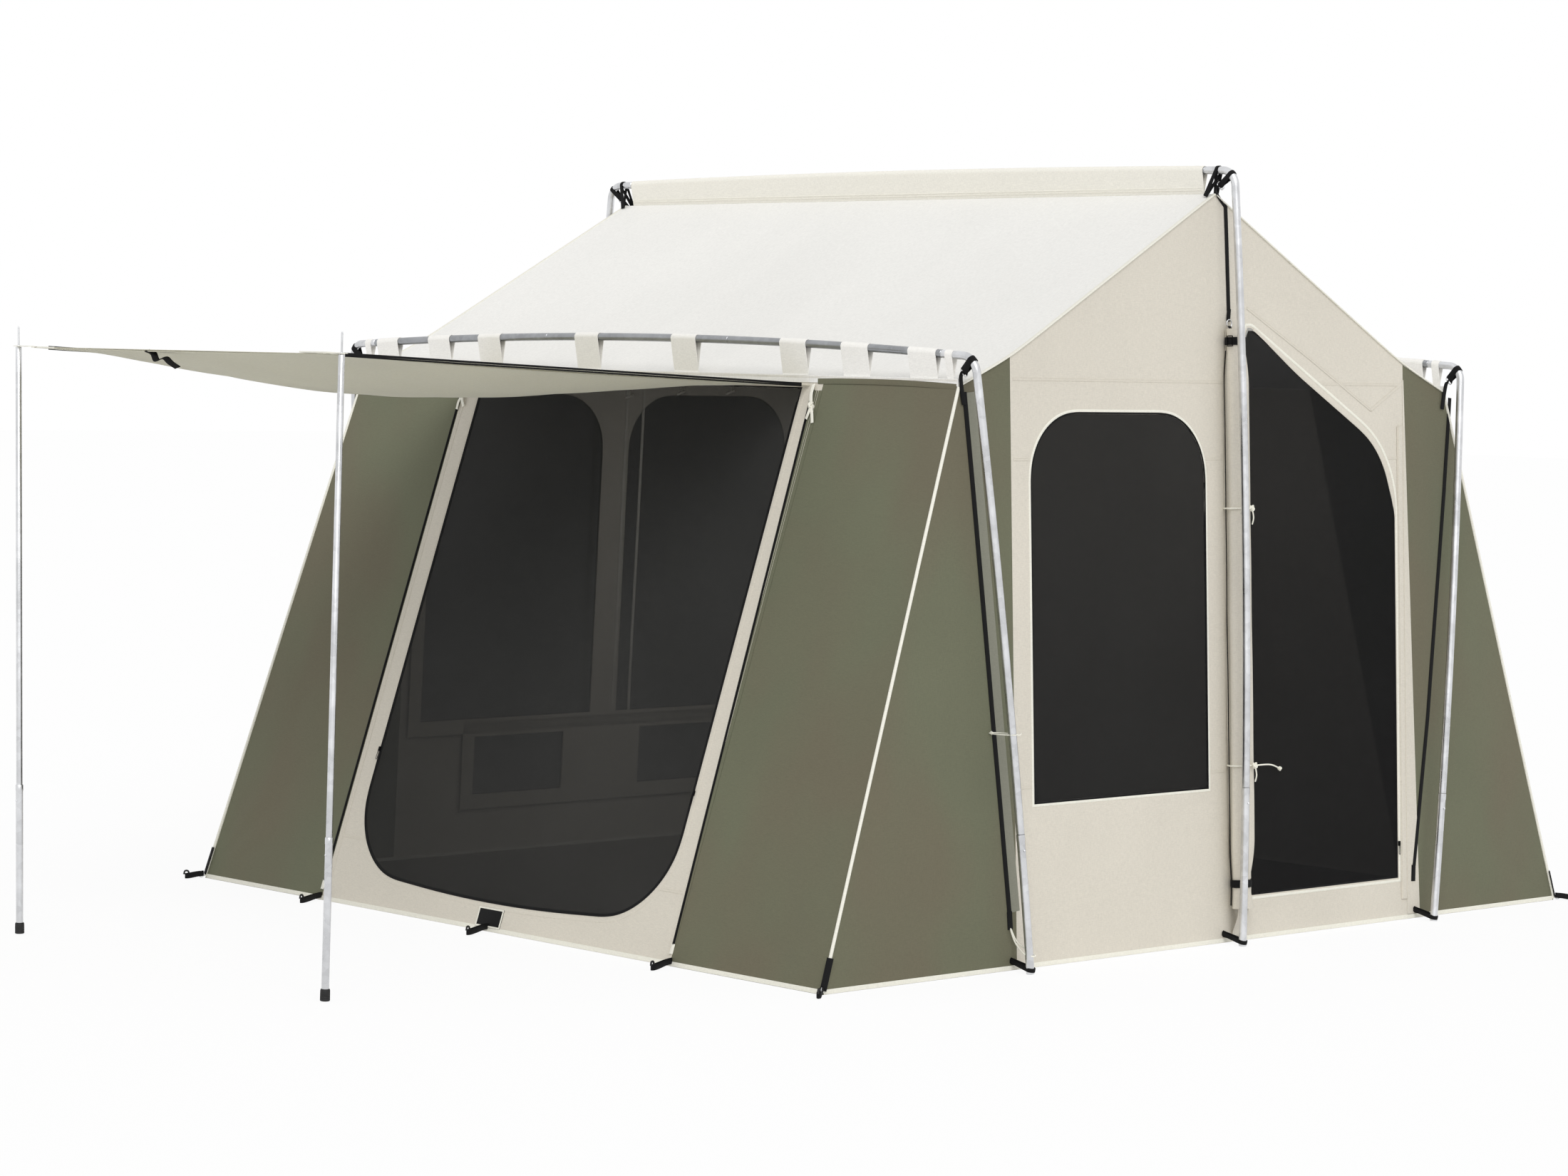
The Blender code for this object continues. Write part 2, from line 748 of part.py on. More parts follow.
def roll_ring(height, grow=0.0):
    """One cross-section of the rolled flap, seated on the right gable or on its tie."""
    waist = waist_share(height)
    fade = (waist - tie_waist_share) / (1.0 - tie_waist_share)
    turn = roll_twist * (height - roll_bottom) / (roll_top - roll_bottom)
    spokes = []
    for step in range(roll_sides):
        angle = 2.0 * math.pi * step / roll_sides
        fold = 1.0 - roll_fold_share * fade * (0.5 + 0.5 * math.cos(roll_fold_count * angle + turn))
        spokes.append((angle, roll_half_width * waist * fold, roll_half_depth * waist * fold))
    lowest = min(depth * math.sin(angle) for angle, _, depth in spokes)
    seat = seam - lowest + (1.0 - fade) * (tie_webbing + tie_clearance + seam)
    ring = []
    for angle, width, depth in spokes:
        base = gable_point(1, roll_centre + (width + grow) * math.cos(angle), height)
        ring.append(base + gable_face(1)[1] * (seat + (depth + grow) * math.sin(angle)))
    return ring


def build_flap_roll(cream, black):
    bm = bmesh.new()
    swell = tie_width + tie_waist_reach
    heights = [roll_bottom] + spread(tie_heights[0] + swell, tie_heights[1] - swell, 12) + [roll_top]
    for tie in tie_heights:
        heights += [tie - tie_width, tie + tie_width]
    for tie, toward in zip(tie_heights, (1.0, -1.0)):
        heights.append(tie + toward * (tie_width + tie_waist_reach / 2.0))
    rings = []
    for height in sorted(heights):
        rings.append([bm.verts.new(point) for point in roll_ring(height)])
    for first, second in zip(rings, rings[1:]):
        bridge_loops(bm, first, second)
    bm.faces.new(rings[0])
    bm.faces.new(rings[-1])
    add_object("side_flap_roll", bm, cream, smooth=True)
    for tie, name in zip(tie_heights, ("lower", "upper")):
        bm = bmesh.new()
        loops = []
        outside = tie_clearance + tie_webbing
        for height, grow in ((0.5, tie_clearance), (0.5, outside), (-0.5, outside), (-0.5, tie_clearance)):
            places = roll_ring(tie, grow)
            lift = (gable_point(1, 0.0, tie_width * height) - gable_point(1, 0.0, 0.0))
            loops.append([bm.verts.new(place + lift) for place in places])
        for index in range(len(loops)):
            bridge_loops(bm, loops[index - 1], loops[index])
        add_object(f"flap_tie_{name}", bm, black, smooth=True)


def porch_hinge():
    """A point on the porch flap's hinge line, just clear of the front wall."""
    clear = canvas / 2.0 + seam
    return wall_point(-1, 0.0, porch_hinge_height) + wall_face(-1)[1] * clear


def build_porch(cream):
    hinge = porch_hinge()

    def surface(across, share):
        half = porch_root_half_width + (porch_tip_half_width - porch_root_half_width) * share
        belly = 4.0 * share * (1.0 - share) * (1.0 - across ** 2)
        height = canvas / 2.0 + porch_rise * share - porch_sag * belly
        return hinge + Vector((across * half, -porch_reach * share, height))

    make_sheet("porch_flap", cream, surface, spread(-1.0, 1.0, cloth_steps),
               spread(0.0, 1.0, cloth_steps), canvas, hinge)


def pole_route(side):
    edge = porch_hinge().y - porch_reach
    foot = Vector((side * pole_foot_half_span, edge, 0.0))
    head = Vector((side * pole_head_half_span, edge, pole_head_height + pole_spike_length))
    return Route((foot, head), (0.0, 1.0, 0.0))


def build_poles(steel, rubber, webbing):
    lower_radius = pole_upper_radius + running_clearance + pole_wall
    lower_bore = pole_upper_radius + running_clearance
    upper_bore = pole_upper_radius - pole_wall
    sleeve_bore = lower_radius + seam
    for side, name in ((-1, "left"), (1, "right")):
        route = pole_route(side)
        shoulder = route.length - pole_spike_length
        start = pole_lower_length - pole_upper_insert
        floor_top = rubber_foot_floor + seam
        upper = [(shoulder - pole_wall, upper_bore), (start, upper_bore), (start, pole_upper_radius)]
        upper += [(shoulder, pole_upper_radius), (shoulder, pole_spike_radius)]
        upper.append((route.length, pole_spike_radius / 2.0))
        lower = [(floor_top, lower_radius), (pole_lower_length, lower_radius)]
        lower += [(pole_lower_length, lower_bore), (floor_top, lower_bore)]
        foot = [(rubber_foot_floor, sleeve_bore), (rubber_foot_height, sleeve_bore)]
        foot += [(rubber_foot_height, rubber_foot_radius), (0.0, rubber_foot_radius)]
        make_turned(f"pole_upper_{name}", steel, route, upper, capped=True, origin=route.at(start)[0])
        make_turned(f"pole_lower_{name}", steel, route, lower)
        make_turned(f"pole_foot_{name}", rubber, route, foot, capped=True, level=0.0)
        build_tab(f"porch_tab_{name}", side, route.at(shoulder)[0], webbing)


def build_tab(name, side, head, look):
    """A webbing tab from the porch flap's corner to the spike on the pole."""
    flare = (porch_root_half_width - porch_tip_half_width) * tab_half_width / porch_reach
    inner = side * (porch_tip_half_width + flare + seam)
    outer = head.x + side * tab_past_pole
    height = head.z + seam + tab_webbing + tab_webbing / 2.0
    corners = ((inner, -tab_half_width), (outer, -tab_half_width), (outer, tab_half_width), (inner, tab_half_width))
    outline = [Vector((x, head.y + y, height)) for x, y in corners]
    eye = arc((head.x, head.y), pole_spike_radius + 2.0 * seam, 0.0, 360.0, tube_sides)[:-1]
    eye = [Vector((x, y, height)) for x, y in eye]
    up = Vector((0.0, 0.0, 1.0))
    make_plate(name, look, outline, up, 0.0, tab_webbing, origin=head, holes=[eye])


def build_slider(name, place, along, out, look):
    """A zip slider with its pull hanging down the tape."""
    across = along.cross(out)
    profile = ((0.0, 0.0), (slider_length, 0.0), (slider_length, slider_height), (-pull_length, slider_height),
               (-pull_length, slider_height - pull_thickness), (0.0, slider_height - pull_thickness))
    bm = bmesh.new()
    rings = []
    for half in (-0.5, 0.5):
        shift = across * slider_width * half
        rings.append([bm.verts.new(place + shift + along * v + out * (h + seam)) for v, h in profile])
    bm.faces.new(rings[0])
    bm.faces.new(rings[1])
    bridge_loops(bm, *rings)
    add_object(name, bm, look, origin=place)


def build_sliders(look):
    wall_out, gable_out = wall_face(-1)[1], gable_face(1)[1]
    wall_up = (wall_point(-1, 0.0, eave_height) - wall_point(-1, 0.0, 0.0)).normalized()
    gable_up = (gable_point(1, 0.0, eave_height) - gable_point(1, 0.0, 0.0)).normalized()
    beside = slider_width / 2.0 + seam
    for side, name in ((-1, "left"), (1, "right")):
        place = wall_point(-1, side * (door_half_width + beside), front_slider_height)
        build_slider(f"front_zip_slider_{name}", place, wall_up, wall_out, look)
    place = gable_point(1, side_door_far + beside, side_slider_height)
    build_slider("side_zip_slider", place, gable_up, gable_out, look)


def main():
    clear_scene()
    steel = make_material("galvanised_steel", (0.62, 0.63, 0.64), 0.28, 1.0)
    roof_cloth = make_material("roof_canvas", (0.84, 0.83, 0.79), 0.85)
    cream = make_material("cream_canvas", (0.71, 0.68, 0.60), 0.88)
    olive = make_material("olive_canvas", (0.155, 0.155, 0.105), 0.88)
    net = make_material("insect_net", (0.022, 0.022, 0.022), 0.8)
    vinyl = make_material("floor_vinyl", (0.12, 0.105, 0.085), 0.55)
    black = make_material("black_webbing", (0.012, 0.012, 0.012), 0.7)
    rubber = make_material("black_rubber", (0.015, 0.015, 0.015), 0.6)

    band_centre = eave_half_width + seam + eave_band_half_thickness
    ridge = hoop_route(1, ridge_bar_height, ridge_bar_rise, ridge_corner_half_length, ridge_leg_bow, 0.0, 0.0)
    eaves = {}
    for side, name in ((-1, "front"), (1, "back")):
        eaves[name] = hoop_route(side, eave_bar_height, eave_bar_rise, eave_corner_half_length, eave_leg_bow,
                                 eave_foot_half_width, band_centre)
        build_hoop(name, eaves[name], eave_leg_lower_length, steel)
        build_eave_band(f"{name}_eave_band", side, eaves[name], roof_cloth)
        build_roof(f"roof_{name}", side, roof_cloth)
    build_hoop("ridge", ridge, ridge_leg_lower_length, steel)
    build_sleeve(ridge, cream)
    build_walls(olive, cream, net, black)
    build_gables(olive, cream, net)
    build_nets(net)
    build_floor(vinyl)
    build_flap_roll(cream, black)
    build_porch(cream)
    build_poles(steel, rubber, cream)
    build_sliders(black)


main()
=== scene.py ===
"""Looks of the canvas wall tent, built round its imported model.

Metres, +Z up. X runs along the ridge, the porch is towards -Y, and +X is the side with its own door.
"""
import math

import bmesh
import bpy
import numpy as np
from mathutils import Matrix, Vector, noise
from mathutils.geometry import delaunay_2d_cdt


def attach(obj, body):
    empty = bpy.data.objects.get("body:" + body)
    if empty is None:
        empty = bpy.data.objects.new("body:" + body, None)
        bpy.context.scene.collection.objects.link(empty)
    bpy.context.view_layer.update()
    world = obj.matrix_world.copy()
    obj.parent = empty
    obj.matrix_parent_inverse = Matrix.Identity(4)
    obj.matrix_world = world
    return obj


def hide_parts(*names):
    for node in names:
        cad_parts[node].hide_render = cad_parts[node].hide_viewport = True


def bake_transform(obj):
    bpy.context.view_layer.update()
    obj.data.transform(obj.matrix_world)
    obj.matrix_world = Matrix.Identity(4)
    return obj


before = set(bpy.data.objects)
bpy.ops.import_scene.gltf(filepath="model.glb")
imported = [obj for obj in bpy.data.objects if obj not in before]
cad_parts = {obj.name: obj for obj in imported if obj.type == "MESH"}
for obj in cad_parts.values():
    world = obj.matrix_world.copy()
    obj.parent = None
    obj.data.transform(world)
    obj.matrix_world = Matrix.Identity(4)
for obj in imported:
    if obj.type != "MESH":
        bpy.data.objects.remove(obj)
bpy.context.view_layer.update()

# Camera, fitted to the photograph
camera_place = Vector((9.890, -9.748, 1.860))
camera_heading = math.radians(136.93)
camera_pitch = math.radians(-3.35)
camera_roll = math.radians(1.17)
photo_focal_px = 5597.0
photo_width_px = 2200.0
sensor_width_mm = 36.0

# Hoops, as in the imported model
tube_radius = 0.0127
elbow_radius = 0.055
bar_middle_half_length = 0.45
bar_outer_half_length = 1.405
hoop_foot_half_length = 1.645
ridge_bar_height = 2.475
ridge_bar_rise = 0.014
ridge_corner_half_length = 1.525
ridge_leg_bow = 0.03
ridge_leg_lower_length = 0.51
eave_bar_height = 1.865
eave_bar_rise = 0.042
eave_corner_half_length = 1.54
eave_foot_half_width = 0.985
eave_leg_bow = 0.015
eave_leg_lower_length = 0.43
collar_length = 0.02
collar_growth = 0.0009
tube_bevel = 0.0012
button_drop = 0.05
button_radius = 0.0045

# Canvas body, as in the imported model
ridge_height = 2.402
eave_height = 1.777
break_height = 1.869
break_half_width = 0.955
eave_half_width = 1.178
base_half_length = 1.56
base_half_width = 1.775
gable_slope = 0.049126
roof_overhang = 0.005
roof_sag = 0.035
roof_swell = 0.006
roof_fold = 0.0025
band_half_thickness = 0.0015
band_centre = eave_half_width + 0.0018
band_foot_height = eave_height - 0.0023
band_height = 0.023
roof_start = 0.0015
break_ease = 0.005
span_inset = 0.012
loop_width = 0.118
corner_loop_width = 0.03
loop_places = (0.242, 0.757, 1.034, 1.327)
corner_loop_place = 1.44
sleeve_half_length = 1.40
sleeve_foot_height = ridge_height - 0.006
sling_steps = 26

# Front door and porch
door_panel_half_width = 0.885
porch_hinge = Vector((0.0, -1.183264, 1.765414))
porch_root_half_width = 0.83
porch_tip_half_width = 0.765
porch_reach = 1.82
porch_rise = 0.07
porch_sag = 0.098
porch_belly_lean = 1.15
pole_foot_half_span = 0.80
pole_head_half_span = 0.838
pole_head_height = 1.835414
pole_spike_length = 0.065
pole_upper_radius = 0.0095
pole_lower_radius = 0.011
pole_lower_length = 0.468
pole_insert = 0.11
pole_y = porch_hinge.y - porch_reach
pole_lower_profile = ((0.0065, pole_lower_radius), (pole_lower_length - 0.02, pole_lower_radius),
                      (pole_lower_length - 0.018, pole_lower_radius + 0.0008),
                      (pole_lower_length - 0.001, pole_lower_radius + 0.0008),
                      (pole_lower_length, pole_lower_radius))
pole_foot_profile = ((0.0, 0.0125), (0.0012, 0.0142), (0.004, 0.0145), (0.0075, 0.0145), (0.0085, 0.0138),
                     (0.0095, 0.0145), (0.013, 0.0145), (0.014, 0.0138), (0.015, 0.0145),
                     (0.030, 0.0142), (0.0335, 0.0134), (0.035, 0.0118))

# Side door flap, rolled
roll_centre = 0.058
roll_half_width = 0.05
roll_half_depth = 0.038
roll_bottom = 0.11
roll_top = 1.97
tie_heights = (0.19, 1.93)
tie_waist_share = 0.74
tie_waist_reach = 0.12
flap_zip_step = 44
roll_turns = 2.35
slider_pull = ((-0.0025, 0.002), (0.0025, 0.002), (0.0036, -0.026), (0.0, -0.0295), (-0.0036, -0.026))

# Cloth and trim
canvas = 0.0016
netting = 0.0009
cloth_step = 0.02
fade_width = 0.11
flank_folds = (0.0022, 0.35, 17.0)
gusset_folds = (0.002, 0.3, 15.0)
seam = 0.0003
webbing = 0.0014
webbing_width = 0.02
strap_gap = 0.0006
strip_profile = ((-1.0, 0.6), (-0.8, 1.0), (0.0, 1.1), (0.8, 1.0), (1.0, 0.6))
hem_width = 0.014
piping_radius = 0.0052
zip_width = 0.011

# Meshing
tube_sides = 24
ring_steps = 28
knot_steps = 48
nudge = 0.0005
weld = 0.00001
cut_tolerance = 0.0000001
facing_share = 0.9
arc_turn = math.radians(30.0)
lean_limit = 0.6
row_share = 0.87
rim_clearance = 0.55
frame_share = 0.32
bar_share = 0.9

# Threads of the cloths, nets and tapes
wall_threads = ((1.0, 1.0, 0.12), (0.12, 0.12, 1.0))
roof_threads = ((1.0, 0.12, 0.12), (0.12, 1.0, 1.0))
thread_scale = 620.0
net_scale = 190.0
rib_scale = 150.0

# Trim of the canvas
seam_heights = (1.80, 1.555, 0.553)
door_head_line = ((0.155, 2.04), (0.47, 1.88), (0.783, 1.714))
door_head_branch = ((0.783, 1.714), (0.945, 1.802))
storm_flap_line = ((0.936, 0.07), (0.934, 0.9), (0.933, 1.35), (0.936, 1.66))
left_rib_places = (0.045, 0.127)
facing_width = 0.056
facing_depth = 0.0085
net_head_width = 0.018
net_head_start = 0.26
net_head_low = 1.34
net_head_taper = 1.48
hinge_seam = 0.02
leg_band_shift = 0.0285
leg_band_width = 0.036
back_webbing_shift = 0.055
leg_webbing_line = ((1.155, 1.758), (1.12, 1.44), (1.04, 0.68), (0.987, 0.178))
leg_webbing_foot = ((0.987, 0.18), (0.984, 0.125))
ridge_webbing_line = ((0.052, 2.372), (0.056, 2.25), (0.062, 2.03))
stake_places = (-0.89, 0.0, 0.89)
left_zip_place = 0.894
wall_loop_shape = ((-0.002, 0.0035), (0.035, 0.0045), (0.075, 0.006), (0.102, 0.0055), (0.110, 0.0),
                   (0.102, -0.0055), (0.075, -0.006), (0.035, -0.0045), (-0.002, -0.0035))
corner_loop_shape = ((0.0, 0.003), (0.022, 0.004), (0.044, 0.0055), (0.056, 0.005), (0.062, 0.0),
                     (0.056, -0.005), (0.044, -0.0055), (0.022, -0.004), (0.0, -0.003))
stake_loop_height = 0.016
pin_shape = ((0.0, 0.001), (0.0, 0.021), (0.005, 0.027), (0.014, 0.026), (0.017, 0.015))
toggle_turn = (1.762, 1.748)
toggle_places = ((-0.62, 1.705), (-0.34, 1.722), (-0.007, 1.711), (0.24, 1.728), (0.473, 1.735))
porch_strap_shape = ((0.0, 0.0, -0.002), (0.028, 0.004, -0.010), (0.052, 0.0, -0.030),
                     (0.085, 0.006, -0.022), (0.120, 0.002, -0.036), (0.155, 0.004, -0.050))
leg_cord_height = 0.735
leg_cord_tail = ((0.016, 0.0, 0.0), (0.02, 0.014, 0.0), (0.012, 0.026, 0.004))
patch_half_width = 0.062
patch_low = 0.011
patch_high = 0.072

# Stage
sky_level = 0.6
camera_reach = 200.0
sun_strength = 1.55
sun_angle = math.radians(40.0)
sun_place = Vector((6.0, -4.0, 6.0))
inner_strength = 14.0
inner_size = 0.3
inner_places = ((-0.7, 0.1, 1.25), (0.7, 0.1, 1.25))
floor_white_share = 0.9
floor_size = 60.0
floor_height = -0.0012
white = (1.0, 1.0, 1.0, 1.0)

# Colours of the photograph, in sRGB
roof_white = (246, 245, 241)
# The sleeve is the roof's canvas: slightly yellower as its own tone, and brighter to paint the light on its
# upright side.
sleeve_lit_white = (253, 250, 240)
loop_white = (255, 253, 248)
# A grey strip on the front gussets, painted light and shade: it stands for the pale band beside the leg
# tube, not for a tape.
painted_leg_band_grey = (138, 138, 124)
cream = (219, 213, 200)
# The porch flap is cream canvas; this darker colour paints the shade on its underside.
porch_shaded_cream = (196, 193, 174)
olive = (105, 107, 85)
olive_brown = (108, 101, 82)
piping_white = (240, 238, 226)
net_black = (24, 24, 25)
# A lighter copy of the black insect mesh for the front door: painted light that makes up for the porch's
# shade.
front_net_lit_grey = (50, 50, 49)
# A lighter copy of the black insect mesh for the right gable's window: painted light, brighter than the side
# door's mesh.
window_net_lit_grey = (37, 37, 37)
vinyl_brown = (92, 84, 74)
webbing_black = (12, 12, 13)
rubber_black = (16, 16, 16)
toggle_grey = (84, 82, 76)
steel_grey = (216, 217, 219)
# A darker copy of the galvanised steel for the hoops' top bars: painted shade.
bar_shaded_grey = (158, 160, 163)

# Directions, the two long sides with their signs along Y, and the signs of either end
upright = Vector((0.0, 0.0, 1.0))
front, back, right, left = (0.0, -1.0, 0.0), (0.0, 1.0, 0.0), (1.0, 0.0, 0.0), (-1.0, 0.0, 0.0)
long_sides = ((-1.0, "front"), (1.0, "back"))
ends = (-1.0, 1.0)


def gable_x(height):
    """How far a gable stands from the middle of the tent at a height."""
    return base_half_length - height * gable_slope


def linear(colour):
    """An sRGB colour, 0 to 255, as the linear colour that a shader takes."""
    shares = [value / 255.0 for value in colour]
    return tuple(s / 12.92 if s <= 0.04045 else ((s + 0.055) / 1.055) ** 2.4 for s in shares)


def smooth(share):
    share = min(1.0, max(0.0, share))
    return share * share * (3.0 - 2.0 * share)


def spread(low, high, steps):
    return [low + (high - low) * step / steps for step in range(steps + 1)]


# Materials

class Nodes:
    """A node tree with the few calls that the looks and the world need."""

    def __init__(self, tree):
        self.tree = tree

    def feed(self, socket, value):
        """Link another node's output to a socket, or set the socket's own value."""
        if isinstance(value, bpy.types.NodeSocket):
            self.tree.links.new(value, socket)
        else:
            socket.default_value = value

    def node(self, kind, inputs=(), **settings):
        """A node whose inputs are numbers, colours or other nodes' outputs."""
        made = self.tree.nodes.new(kind)
        for key, value in settings.items():
            setattr(made, key, value)
        for key, value in dict(inputs).items():
            self.feed(made.inputs[key], value)
        return made

    def sum(self, first, second, operation="ADD"):
        return self.node("ShaderNodeMath", {0: first, 1: second}, operation=operation).outputs[0]

    def range(self, value, low, high, from_low=0.0, from_high=1.0):
        inputs = {"Value": value, "From Min": from_low, "From Max": from_high, "To Min": low, "To Max": high}
        return self.node("ShaderNodeMapRange", inputs).outputs[0]

    def seen(self):
        """One where the camera, a reflection or something clear shows the surface, else nought."""
        path = self.node("ShaderNodeLightPath").outputs
        shown = self.sum(path["Is Camera Ray"], path["Is Glossy Ray"], "MAXIMUM")
        return self.sum(shown, path["Is Transmission Ray"], "MAXIMUM")


class Look(Nodes):
    """One material, as nodes round its shader."""

    def __init__(self, name, slot, roughness, metallic=0.0):
        self.material = bpy.data.materials.new(name)
        self.material.use_nodes = True
        super().__init__(self.material.node_tree)
        self.shader = self.tree.nodes["Principled BSDF"]
        self.shader.inputs["Roughness"].default_value = roughness
        self.shader.inputs["Metallic"].default_value = metallic
        self.coordinates = self.node("ShaderNodeTexCoord").outputs["Object"]
        self.slot = slot

    def stretched(self, scale):
        return self.node("ShaderNodeMapping", {"Vector": self.coordinates, "Scale": scale}).outputs[0]

    def noise(self, scale, detail=2.0, stretch=(1.0, 1.0, 1.0)):
        inputs = {"Vector": self.stretched(stretch), "Scale": scale, "Detail": detail}
        return self.node("ShaderNodeTexNoise", inputs).outputs["Fac"]

    def bands(self, scale, axis, stretch=(1.0, 1.0, 1.0)):
        inputs = {"Vector": self.stretched(stretch), "Scale": scale}
        return self.node("ShaderNodeTexWave", inputs, bands_direction=axis).outputs["Fac"]

    def mix(self, share, first, second):
        inputs = {0: share, 6: first, 7: second}
        return self.node("ShaderNodeMix", inputs, data_type="RGBA").outputs[2]

    def tones(self, share, colour, low, high):
        """A colour between two of its own strengths."""
        return self.mix(share, shaded(colour, low), shaded(colour, high))

    def bump(self, height, distance, strength=1.0, below=None):
        inputs = {"Height": height, "Distance": distance, "Strength": strength}
        if below is not None:
            inputs["Normal"] = below
        return self.node("ShaderNodeBump", inputs).outputs[0]

    def set(self, name, value):
        self.feed(self.shader.inputs[name], value)


def shaded(colour, share):
    return (*[value * share for value in linear(colour)], 1.0)


def cloth_look(name, slot, colour, variation, threads=wall_threads, tint=None, glow=0.0):
    """Woven canvas: warp and weft threads, soft mottling and a few handling creases."""
    look = Look(name, slot, 0.9)
    warp, weft = [look.noise(thread_scale, 2.0, stretch) for stretch in threads]
    weave = look.sum(warp, weft)
    broad = look.range(look.noise(1.3, 3.0), 0.0, 1.0, 0.35, 0.65)
    base = look.tones(broad, colour, 1.0 - variation, 1.0 + variation)
    if tint:
        patches = look.range(look.noise(2.1, 2.0, (1.0, 1.0, 0.6)), 0.0, 0.75, 0.42, 0.62)
        base = look.mix(patches, base, shaded(tint, 1.0))
    threads_seen = look.range(weave, 0.0, 1.0, 0.7, 1.3)
    dark = look.mix(0.86, (0.0, 0.0, 0.0, 1.0), base)
    look.set("Base Color", look.mix(threads_seen, dark, base))
    creases = look.bump(look.noise(7.0, 4.0), 0.0035, 0.35)
    look.set("Normal", look.bump(weave, 0.0003, 0.5, creases))
    look.set("Sheen Weight", 0.08)
    look.set("Subsurface Weight", glow)
    look.set("Subsurface Scale", 0.004)
    look.set("Subsurface Radius", (1.0, 1.0, 1.0))
    return look


def net_look(name, axis, thin, thick, thread):
    """Insect mesh: a fine grid of dark threads with small gaps that let some light through."""
    look = Look(name, "insect_net", 0.75)
    grid = look.sum(look.bands(net_scale, axis), look.bands(net_scale, "Z"), "MAXIMUM")
    look.set("Base Color", look.tones(look.noise(1.6, 2.0), thread, 0.8, 1.3))
    look.set("Alpha", look.range(grid, thin, thick))
    look.set("Specular IOR Level", 0.1)
    look.set("Normal", look.bump(grid, 0.0003, 0.6))
    return look


def steel_look(name, grey):
    """Galvanised tube: drawn along its length, with a faint spangle."""
    look = Look(name, "galvanised_steel", 0.3, 1.0)
    cells = look.node("ShaderNodeTexVoronoi", {"Vector": look.coordinates, "Scale": 55.0}).outputs["Color"]
    spangle = look.node("ShaderNodeSeparateColor", {"Color": cells}).outputs[0]
    cloudy = look.noise(9.0, 4.0)
    shade = look.range(look.sum(look.range(spangle, -0.12, 0.12), cloudy), 0.0, 1.0, 0.2, 0.8)
    look.set("Base Color", look.tones(shade, grey, 0.78, 1.12))
    look.set("Roughness", look.range(cloudy, 0.24, 0.42, 0.3, 0.7))
    look.set("Normal", look.bump(look.noise(900.0, 2.0), 0.00008, 0.4))
    return look


def webbing_look(name, slot, colour, roughness=0.75):
    """Woven tape: a herringbone of fine ribs."""
    look = Look(name, slot, roughness)
    counter = look.bands(rib_scale, "DIAGONAL", (-1.0, 1.0, 1.0))
    weave = look.sum(look.bands(rib_scale, "DIAGONAL"), counter)
    look.set("Base Color", look.tones(look.range(weave, 0.0, 1.0, 0.4, 1.6), colour, 0.85, 1.15))
    look.set("Normal", look.bump(weave, 0.0004, 0.5))
    look.set("Specular IOR Level", 0.2)
    return look


def plain_look(name, slot, colour, roughness, grain, depth, metallic=0.0):
    """Moulded or coated stuff with a fine grain and slight unevenness of colour."""
    look = Look(name, slot, roughness, metallic)
    look.set("Base Color", look.tones(look.noise(3.0, 3.0), colour, 0.85, 1.15))
    look.set("Normal", look.bump(look.noise(grain, 3.0), depth, 0.5))
    return look


looks = {
    "roof": cloth_look("Roof canvas", "roof_canvas", roof_white, 0.015, roof_threads),
    "band": cloth_look("Eave canvas", "roof_canvas", roof_white, 0.015),
    "loops": cloth_look("Loop canvas", "roof_canvas", loop_white, 0.015),
    # Brighter than the roof canvas: painted light, on the sleeve and its seam rows.
    "sleeve": cloth_look("Sleeve canvas, painted light", "roof_canvas", sleeve_lit_white, 0.015),
    # Painted light and shade: the grey band beside the front hoops' legs.
    "painted_leg_band": cloth_look("Painted leg band", "olive_canvas", painted_leg_band_grey, 0.05),
    "cream": cloth_look("Cream canvas", "cream_canvas", cream, 0.03),
    # The porch flap's cream, darkened to paint the shade on its underside.
    "porch": cloth_look("Porch canvas, painted shade", "cream_canvas", porch_shaded_cream, 0.04, roof_threads, glow=0.6),
    "olive": cloth_look("Olive canvas", "olive_canvas", olive, 0.05, tint=olive_brown),
    "piping": cloth_look("Piping", "cream_canvas", piping_white, 0.02),
    # Painted light: the black mesh made lighter under the porch.
    "net_front": net_look("Insect mesh of the walls, painted light", "X", 0.42, 0.84, front_net_lit_grey),
    "net_side": net_look("Insect mesh of the gables", "Y", 0.58, 0.88, net_black),
    # Painted light: the same black mesh, made lighter in the window.
    "net_window": net_look("Insect mesh of the window, painted light", "Y", 0.58, 0.88, window_net_lit_grey),
    "vinyl": plain_look("Floor vinyl", "floor_vinyl", vinyl_brown, 0.5, 260.0, 0.0004),
    "black": webbing_look("Black webbing", "black_webbing", webbing_black),
    "white": webbing_look("White tape", "cream_canvas", piping_white, 0.85),
    "rubber": plain_look("Black rubber", "black_rubber", rubber_black, 0.7, 400.0, 0.0002),
    "toggle": plain_look("Toggle plastic", "black_rubber", toggle_grey, 0.6, 300.0, 0.0001),
    "steel": steel_look("Galvanised steel", steel_grey),
    # Painted shade: the same steel, darker on the top bars.
    "bar": steel_look("Galvanised bar, painted shade", bar_shaded_grey),
    "slider": plain_look("Slider metal", "slider_metal", webbing_black, 0.35, 300.0, 0.0001, 0.9),
}


# Geometry

def bridge(bm, first, second):
    """Faces between two rings of vertices."""
    for index in range(len(first)):
        bm.faces.new((first[index - 1], first[index], second[index], second[index - 1]))


def join_rings(bm, rings, closed=False):
    """Faces along a run of rings, with a cap on each end of an open run."""
    if not closed:
        bm.faces.new(rings[0])
        bm.faces.new(rings[-1])
    for first, second in zip(rings, rings[1:] + rings[:1] if closed else rings[1:]):
        bridge(bm, first, second)


